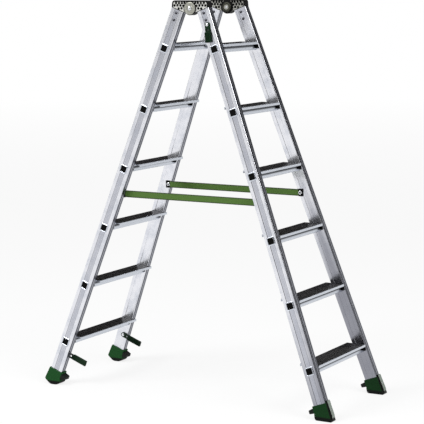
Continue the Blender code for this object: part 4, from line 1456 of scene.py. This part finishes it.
def strap_points(x, height, depth, across):
    """A strap's own place, as x along it, height up and depth towards the stile, leaning with the
    stiles' flare."""
    face = outer_y(STUD_PLACE[1]) - STILE_WIDTH - STRAP_STAND_OFF - STRAP_THICKNESS / 2
    y = across * (face + depth - FLARE * COS * height)
    return np.stack([x, y, STRAP_HEIGHT + height], axis=-1)


def strap_shell(across):
    """The webbing: a flat section with round selvedges, carried along x in even steps. The flat map
    holds the place across and along it."""
    turn = np.linspace(-np.pi / 2, np.pi / 2, 5)
    thick = STRAP_THICKNESS / 2
    edge = STRAP_WIDTH / 2 - thick
    bands = np.linspace(-edge, edge, 9)[1:-1]
    flat = np.full(len(bands), thick)
    height = np.concatenate([edge + thick * np.cos(turn), bands[::-1], -edge - thick * np.cos(turn), bands])
    depth = np.concatenate([thick * np.sin(turn), flat, -thick * np.sin(turn), -flat])
    x = np.linspace(-STRAP_HALF, STRAP_HALF, STRAP_STEPS)
    x, height_grid = np.meshgrid(x, height, indexing="ij")
    depth_grid = np.broadcast_to(depth, x.shape)
    points = strap_points(x, height_grid, depth_grid, across)
    shell, faces = tube_shell(points)
    uv = np.stack([height_grid.reshape(-1)[faces[0]], x.reshape(-1)[faces[0]]], axis=-1)
    return shell, faces, uv


# Polyester webbing, dyed green: a ribbed weave with thick warp yarns along the band and darker, tighter
# edges. The yarns are drawn about twice as coarse as real ones so that they show.
webbing, tree, shader = new_material(
    "green polyester webbing", ior=1.55, sheen_weight=0.06, sheen_roughness=0.5
)
flat = add_node(tree, "UVMap", {"uv_map": "flat"})
spread = add_node(tree, "SeparateXYZ", links={"Vector": flat.outputs[0]})
warp_angle = add_node(
    tree, "Math", {"operation": "MULTIPLY", 1: 2 * math.pi / 0.0018}, {0: spread.outputs["X"]}
)
warp = add_node(tree, "Math", {"operation": "SINE"}, {0: warp_angle.outputs[0]})
weft_angle = add_node(
    tree, "Math", {"operation": "MULTIPLY", 1: 2 * math.pi / 0.0026}, {0: spread.outputs["Y"]}
)
weft = add_node(tree, "Math", {"operation": "SINE"}, {0: weft_angle.outputs[0]})
weave = add_node(tree, "Math", {"operation": "MULTIPLY"}, {0: warp.outputs[0], 1: weft.outputs[0]})
fuzz = add_node(tree, "TexNoise", {"Scale": 1 / 0.004, "Detail": 5.0}, {"Vector": flat.outputs[0]})
yarn = add_node(
    tree, "Math", {"operation": "MULTIPLY_ADD", 1: 0.22}, {0: weave.outputs[0], 2: fuzz.outputs["Fac"]}
)
dye = dressed(
    tree,
    shader,
    ("#2c4a0c", "#4a7019"),
    yarn.outputs[0],
    (0.70, 0.92),
    fuzz.outputs["Fac"],
    (0.5, 0.0003),
    yarn.outputs[0],
)
from_middle = add_node(tree, "Math", {"operation": "ABSOLUTE"}, {0: spread.outputs["X"]})
_, edged = colour_laid_over(tree, dye, from_middle.outputs[0], 0.0082, 0.0118, 1.0, "#1d2f08")
tree.links.new(edged.outputs[2], shader.inputs["Base Color"])

for row in ROWS:
    across = y_sign("right", row)
    hole_place = np.array([[1, 0, 0, 0], [0, 0, 1, 0], [0, -1, 0, 0], [0, 0, 0, 1.0]])
    punches = []
    for x in (-STUD_X, STUD_X):
        hole_place[:3, 3] = strap_points(np.float64(x), 0.0, 0.0, across)
        punches.append(bar(hole_place, STUD_SHANK + GAP, -STRAP_PUNCH, STRAP_PUNCH, 24))
    mesh = combined(make_mesh(*strap_shell(across)), make_mesh(*joined(punches)), "DIFFERENCE")
    mesh.name = f"{row}_strap_webbing"
    mesh.materials.clear()
    mesh.materials.append(webbing)
    mesh.shade_smooth()
    strap = bpy.data.objects.new(f"{row}_strap_webbing", mesh)
    bpy.context.scene.collection.objects.link(strap)
    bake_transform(strap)
    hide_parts(f"{row}_strap")


# Strap ends and studs
# A black sleeve binds each end of the webbing, and a plated tubular stud through sleeve and strap holds
# it to the inner face of the stile.

SLEEVE_LENGTH = 0.019
SLEEVE_HEIGHT = 0.0295
SLEEVE_BACK = 0.0009
SLEEVE_FRONT = 0.00045
SLEEVE_PROUD = 0.0008
SLEEVE_ROUND = 0.0012
SLEEVE_EDGE = 0.0004
STUD_HEAD = 0.0075
STUD_HEAD_HEIGHT = 0.0022
STUD_SEAT = STRAP_STAND_OFF + STRAP_THICKNESS + 2 * GAP
STUD_EYE = 0.0031
STUD_BORE = 0.0022
STUD_BORE_DEPTH = 0.0030
STUD_EYE_RISE = 0.0016
STUD_FLOOR = 0.0006
CROWN_START = 0.46
STUD_STEPS = 40

for row in ROWS:
    across = y_sign("right", row)
    for section in SECTIONS:
        way = 1 if section == "right" else -1
        outside = STRAP_HALF + SLEEVE_PROUD
        inside = outside - SLEEVE_LENGTH
        half = SLEEVE_HEIGHT / 2
        corners = np.array([(inside, -half), (outside, -half), (outside, half), (inside, half)])
        band = eased(corners, SLEEVE_ROUND)
        thick = STRAP_THICKNESS / 2 + (SLEEVE_BACK + SLEEVE_FRONT) / 2
        rings = slab_rings(band, thick, SLEEVE_EDGE, 3)
        depth = rings[..., 1] + (SLEEVE_BACK - SLEEVE_FRONT) / 2
        sleeve = strap_points(way * rings[..., 0], rings[..., 2], depth, across)
        new_piece(
            f"{row}_strap_{section}_sleeve",
            make_mesh(*tube_shell(sleeve)),
            [plug_plastic],
            f"{section}_section",
        )
        share = np.linspace(CROWN_START, 1, 6)
        fall = ((share - CROWN_START) / (1 - CROWN_START)) ** 2
        crown = STUD_SEAT + STUD_HEAD_HEIGHT * (0.3 + 0.7 * (1 - fall))
        tip = -2 * STILE_WALL
        eye = [
            (STUD_FLOOR, STUD_SEAT - STUD_BORE_DEPTH),
            (STUD_BORE, STUD_SEAT - STUD_BORE_DEPTH),
            (STUD_BORE, STUD_SEAT),
            (STUD_EYE, STUD_SEAT + STUD_EYE_RISE),
        ]
        profile = [
            *eye,
            *zip(STUD_HEAD * share, crown),
            (STUD_HEAD, STUD_SEAT),
            (STUD_SHANK, STUD_SEAT),
            (STUD_SHANK, tip),
        ]
        place = on_face(*STUD_PLACE, y_sign(section, row), "inner")
        mesh = make_mesh(*turned_shell(profile, place, STUD_STEPS))
        number = np.arange(len(mesh.polygons))
        # Painted shade: the eye and its bore are coloured in the dark steel.
        eye_painted_shade = (number < (len(eye) - 1) * STUD_STEPS) | (number == len(number) - 2)
        new_piece(
            f"{row}_strap_{section}_stud_turned",
            placed(mesh, section),
            [bright_steel, rivet_steel],
            f"{section}_section",
            [f"{row}_strap_{section}_stud"],
            paint=eye_painted_shade,
        )


# Catch levers and their rivets
# Dark green moulded levers that turn on a rivet in the stile's face: a flat eye with two holes, and a
# thicker grip with ridges for the thumb. Two are near the floor inside, one is under the front hinge
# outside.

EYE_RADIUS = 0.010
EYE_THICKNESS = 0.005
EYE_SPACING = 0.019
EYE_HOLE = 0.0045
EYE_EDGE = 0.0008
DRILL_REACH = 0.02
GRIP_START = 0.028
GRIP_WIDTH = 0.023
GRIP_THICKNESS = 0.010
GRIP_EDGE = 0.0024
GRIP_END_SHARE = 0.9
RIDGE_COUNT = 7
RIDGE_DEPTH = 0.0012
LOW_CATCH_REACH = 0.093
TOP_CATCH_REACH = 0.067
CATCH_RIVET_HEAD = 0.006
CATCH_RIVET_HEAD_HEIGHT = 0.0026
# A slab lies across y; this lays it on the face with its thickness along z.
LAY_FLAT = np.array([[1, 0, 0, 0], [0, 0, 1, 0], [0, 1, 0, 0], [0, 0, 0, 1.0]])


def catch_plate_shell(reach):
    """The eye plate: a slab with a round end about the rivet, lying on z = 0."""
    end = EYE_RADIUS * arc(np.pi / 2, 3 * np.pi / 2, 25)
    tail = reach - EYE_RADIUS
    outline = np.concatenate([end, [(tail, -EYE_RADIUS), (tail, EYE_RADIUS)]])
    points, faces = tube_shell(slab_rings(outline, EYE_THICKNESS / 2, EYE_EDGE))
    return moved(points, LAY_FLAT) + (0, 0, EYE_THICKNESS / 2), faces


def grip_shell(reach):
    """The grip: a rounded box section with ridges along its top, carried along x. Towards both ends the
    section draws in by a quarter circle."""
    edge = GRIP_EDGE
    turn = np.linspace(0, np.pi / 2, 6)
    a = GRIP_WIDTH / 2
    corner = np.column_stack([a - edge + edge * np.cos(turn), edge * (np.sin(turn) - 1)])
    ridges = np.linspace(a - edge, edge - a, 29)[1:-1]
    lift = -RIDGE_DEPTH / 2 * (1 - np.cos(np.pi * RIDGE_COUNT * ridges / (a - edge)))
    top = np.column_stack([ridges, lift])
    left = corner[::-1] * (-1, 1)
    base = -GRIP_THICKNESS
    foot = np.array([(-a, base + edge), (edge - a, base), (a - edge, base), (a, base + edge)])
    section = np.concatenate([corner, top, left, foot]) + (0, GRIP_THICKNESS)
    bend = np.linspace(0, np.pi / 2, 5)
    inset = edge * (1 - np.sin(bend))
    start = GRIP_START + edge * (1 - np.cos(bend))
    x = np.concatenate([start, reach - (start - GRIP_START)[::-1]])
    insets = np.concatenate([inset, inset[::-1]])
    y = section[None, :, 0] * (1 - insets / a)[:, None]
    half_height = GRIP_THICKNESS / 2
    drawn_in = 1 - insets / half_height * GRIP_END_SHARE
    z = half_height + (section[None, :, 1] - half_height) * drawn_in[:, None]
    rings = np.stack([np.broadcast_to(x[:, None], y.shape), y, z], axis=-1)
    return tube_shell(rings)


# Glass-filled nylon, dyed dark green: almost black, satin, with a moulded grain.
catch_plastic, *_ = mottled(
    "dark green nylon",
    ("#020d05", "#0f3018"),
    (0.0025, 4.0, 0.5),
    (0.34, 0.52),
    bump=(0.15, 0.0003),
    ior=1.53,
    specular_ior_level=0.12,
)

INWARDS = math.radians(90)
TOP_CATCH_TURN = math.radians(-13.5)
FRONT_TURN = -INWARDS * y_sign("left", "front")
BACK_TURN = -INWARDS * y_sign("left", "back")
CATCHES = {
    "front_low_catch": ("left", "front", "inner", LOW_CATCH_PLACE, FRONT_TURN, LOW_CATCH_REACH),
    "back_low_catch": ("left", "back", "inner", LOW_CATCH_PLACE, BACK_TURN, LOW_CATCH_REACH),
    "top_catch": ("right", "front", "outer", TOP_CATCH_PLACE, TOP_CATCH_TURN, TOP_CATCH_REACH),
}
for name, (section, row, side, spot, turn, reach) in CATCHES.items():
    place = on_face(*spot, y_sign(section, row), side, turn)
    lifted = np.eye(4)
    lifted[2, 3] = GAP
    mesh = combined(make_mesh(*catch_plate_shell(reach)), make_mesh(*grip_shell(reach)), "UNION")
    eyes = [bar(np.eye(4), CATCH_SHANK + GAP, -DRILL_REACH, DRILL_REACH)]
    second = np.eye(4)
    second[0, 3] = EYE_SPACING
    eyes.append(bar(second, EYE_HOLE, -DRILL_REACH, DRILL_REACH))
    mesh = combined(mesh, make_mesh(*joined(eyes)), "DIFFERENCE")
    mesh.vertices.foreach_set("co", moved(mesh_points(mesh), place @ lifted).astype(np.float32).ravel())
    new_piece(f"{name}_moulding", placed(mesh, section), [catch_plastic], name, [name])
    seat = EYE_THICKNESS + 2 * GAP
    profile = domed_head(CATCH_RIVET_HEAD, CATCH_RIVET_HEAD_HEIGHT, seat)
    profile += [(CATCH_SHANK, seat), (CATCH_SHANK, -2 * STILE_WALL)]
    new_piece(
        f"{name}_rivet_turned",
        placed(make_mesh(*turned_shell(profile, place)), section),
        [bright_steel],
        f"{section}_section",
        [f"{name}_rivet"],
    )


# Studio
# A pale floor that runs out to a white background, two large soft lamps overhead, and dark panels out
# of sight all round, so that bright metal has something dark to mirror above the horizon.

scene = bpy.context.scene
scene.view_settings.view_transform = "Standard"

FLOOR_SIZE = 80.0
PANEL_DISTANCE = 10.0
PANEL_LOW = 1.7
PANEL_HIGH = 6.0
PANEL_STEPS = 144
# Stretches of panel whose low edge is elsewhere: the middle and half the angle in degrees, and the
# edge's height.
PANEL_STRETCHES = ((97, 58, 0.30), (215, 25.5, 4.4), (266, 25, 1.35), (66, 12, 2.7))


def background_share(tree):
    """1 for a ray from the camera, off a shiny surface or through a clear one, and 0 for the rest."""
    path = add_node(tree, "LightPath")
    mirrored = add_node(
        tree,
        "Math",
        {"operation": "MAXIMUM"},
        {0: path.outputs["Is Glossy Ray"], 1: path.outputs["Is Transmission Ray"]},
    )
    return add_node(
        tree, "Math", {"operation": "MAXIMUM"}, {0: path.outputs["Is Camera Ray"], 1: mirrored.outputs[0]}
    )


half = FLOOR_SIZE / 2
floor_mesh = bpy.data.meshes.new("floor")
floor_corners = [(-half, -half, 0), (half, -half, 0), (half, half, 0), (-half, half, 0)]
floor_mesh.from_pydata(floor_corners, [], [(0, 1, 2, 3)])
floor = bpy.data.objects.new("floor", floor_mesh)
scene.collection.objects.link(floor)
floor_paint = bpy.data.materials.new("white studio floor")
floor_paint.use_nodes = True
tree = floor_paint.node_tree
tree.nodes.clear()
seen = background_share(tree)
where = add_node(tree, "TexCoord")
away = add_node(tree, "VectorMath", {"operation": "LENGTH"}, {0: where.outputs["Object"]})
fade = add_node(
    tree,
    "MapRange",
    {"From Min": 1.5, "From Max": 16.0, "To Min": 0.80, "To Max": 1.0},
    {"Value": away.outputs["Value"]},
)
share = add_node(tree, "Math", {"operation": "MULTIPLY"}, {0: seen.outputs[0], 1: fade.outputs[0]})
paint = add_node(tree, "BsdfDiffuse", {"Color": (0.85, 0.85, 0.85, 1)})
glow = add_node(tree, "Emission", {"Color": (1, 1, 1, 1), "Strength": 1.0})
both = add_node(tree, "MixShader", links={0: share.outputs[0], 1: paint.outputs[0], 2: glow.outputs[0]})
add_node(tree, "OutputMaterial", links={"Surface": both.outputs[0]})
floor_mesh.materials.append(floor_paint)

angle = 2 * np.pi * np.arange(PANEL_STEPS) / PANEL_STEPS
ring = np.stack([PANEL_DISTANCE * np.cos(angle), PANEL_DISTANCE * np.sin(angle)], axis=-1)
low_edge = np.full(PANEL_STEPS, PANEL_LOW)
for middle, half_angle, height in PANEL_STRETCHES:
    low_edge[abs(angle - math.radians(middle)) < math.radians(half_angle)] = height
high_edge = np.full(PANEL_STEPS, PANEL_HIGH)
panel_points = np.concatenate([np.column_stack([ring, z]) for z in (low_edge, high_edge)])
panel_mesh = bpy.data.meshes.new("dark_panels")
panel_mesh.from_pydata(panel_points.tolist(), [], ring_faces(2, PANEL_STEPS).tolist())
panels = bpy.data.objects.new("dark_panels", panel_mesh)
scene.collection.objects.link(panels)
panels.visible_camera = False
panels.visible_diffuse = False
panels.visible_shadow = False
panel_cloth, _, shader = new_material("black studio cloth", roughness=1.0)
shader.inputs["Base Color"].default_value = hex_colour("#0c0c0d")
panel_mesh.materials.append(panel_cloth)

world = bpy.data.worlds.new("studio")
scene.world = world
world.use_nodes = True
tree = world.node_tree
tree.nodes.clear()
seen = background_share(tree)
soft = add_node(tree, "Background", {"Color": (1, 1, 1, 1), "Strength": 0.55})
white = add_node(tree, "Background", {"Color": (1, 1, 1, 1), "Strength": 1.0})
both = add_node(tree, "MixShader", links={0: seen.outputs[0], 1: soft.outputs[0], 2: white.outputs[0]})
add_node(tree, "OutputWorld", links={"Surface": both.outputs[0]})

LAMPS = {
    "key_lamp": ((-2.5, -4.0, 5.0), 3.0, 260.0),
    "fill_lamp": ((4.0, -1.5, 4.5), 3.0, 150.0),
}
for name, (spot, size, power) in LAMPS.items():
    lamp_data = bpy.data.lights.new(name, "AREA")
    lamp_data.size = size
    lamp_data.energy = power
    lamp = bpy.data.objects.new(name, lamp_data)
    scene.collection.objects.link(lamp)
    lamp.location = spot
    aim = Vector((0, 0, 0.75)) - Vector(spot)
    lamp.rotation_euler = aim.to_track_quat("-Z", "Y").to_euler()

CAMERA_SPOT = (3.211, -5.617, 1.614)
CAMERA_YAW = math.radians(-29.758)
CAMERA_PITCH = math.radians(-7.982)
CAMERA_ROLL = math.radians(-0.391)
camera_data = bpy.data.cameras.new("camera")
camera_data.sensor_width = 36.0
camera_data.lens = 141.57
camera = bpy.data.objects.new("camera", camera_data)
scene.collection.objects.link(camera)
level = math.cos(CAMERA_PITCH)
ahead = Vector((math.sin(CAMERA_YAW) * level, math.cos(CAMERA_YAW) * level, math.sin(CAMERA_PITCH)))
right = Vector((math.cos(CAMERA_YAW), -math.sin(CAMERA_YAW), 0))
up = right.cross(ahead)
rolled_right = math.cos(CAMERA_ROLL) * right + math.sin(CAMERA_ROLL) * up
rolled_up = math.cos(CAMERA_ROLL) * up - math.sin(CAMERA_ROLL) * right
camera.matrix_world = Matrix((rolled_right, rolled_up, -ahead)).transposed().to_4x4()
camera.location = CAMERA_SPOT
scene.camera = camera
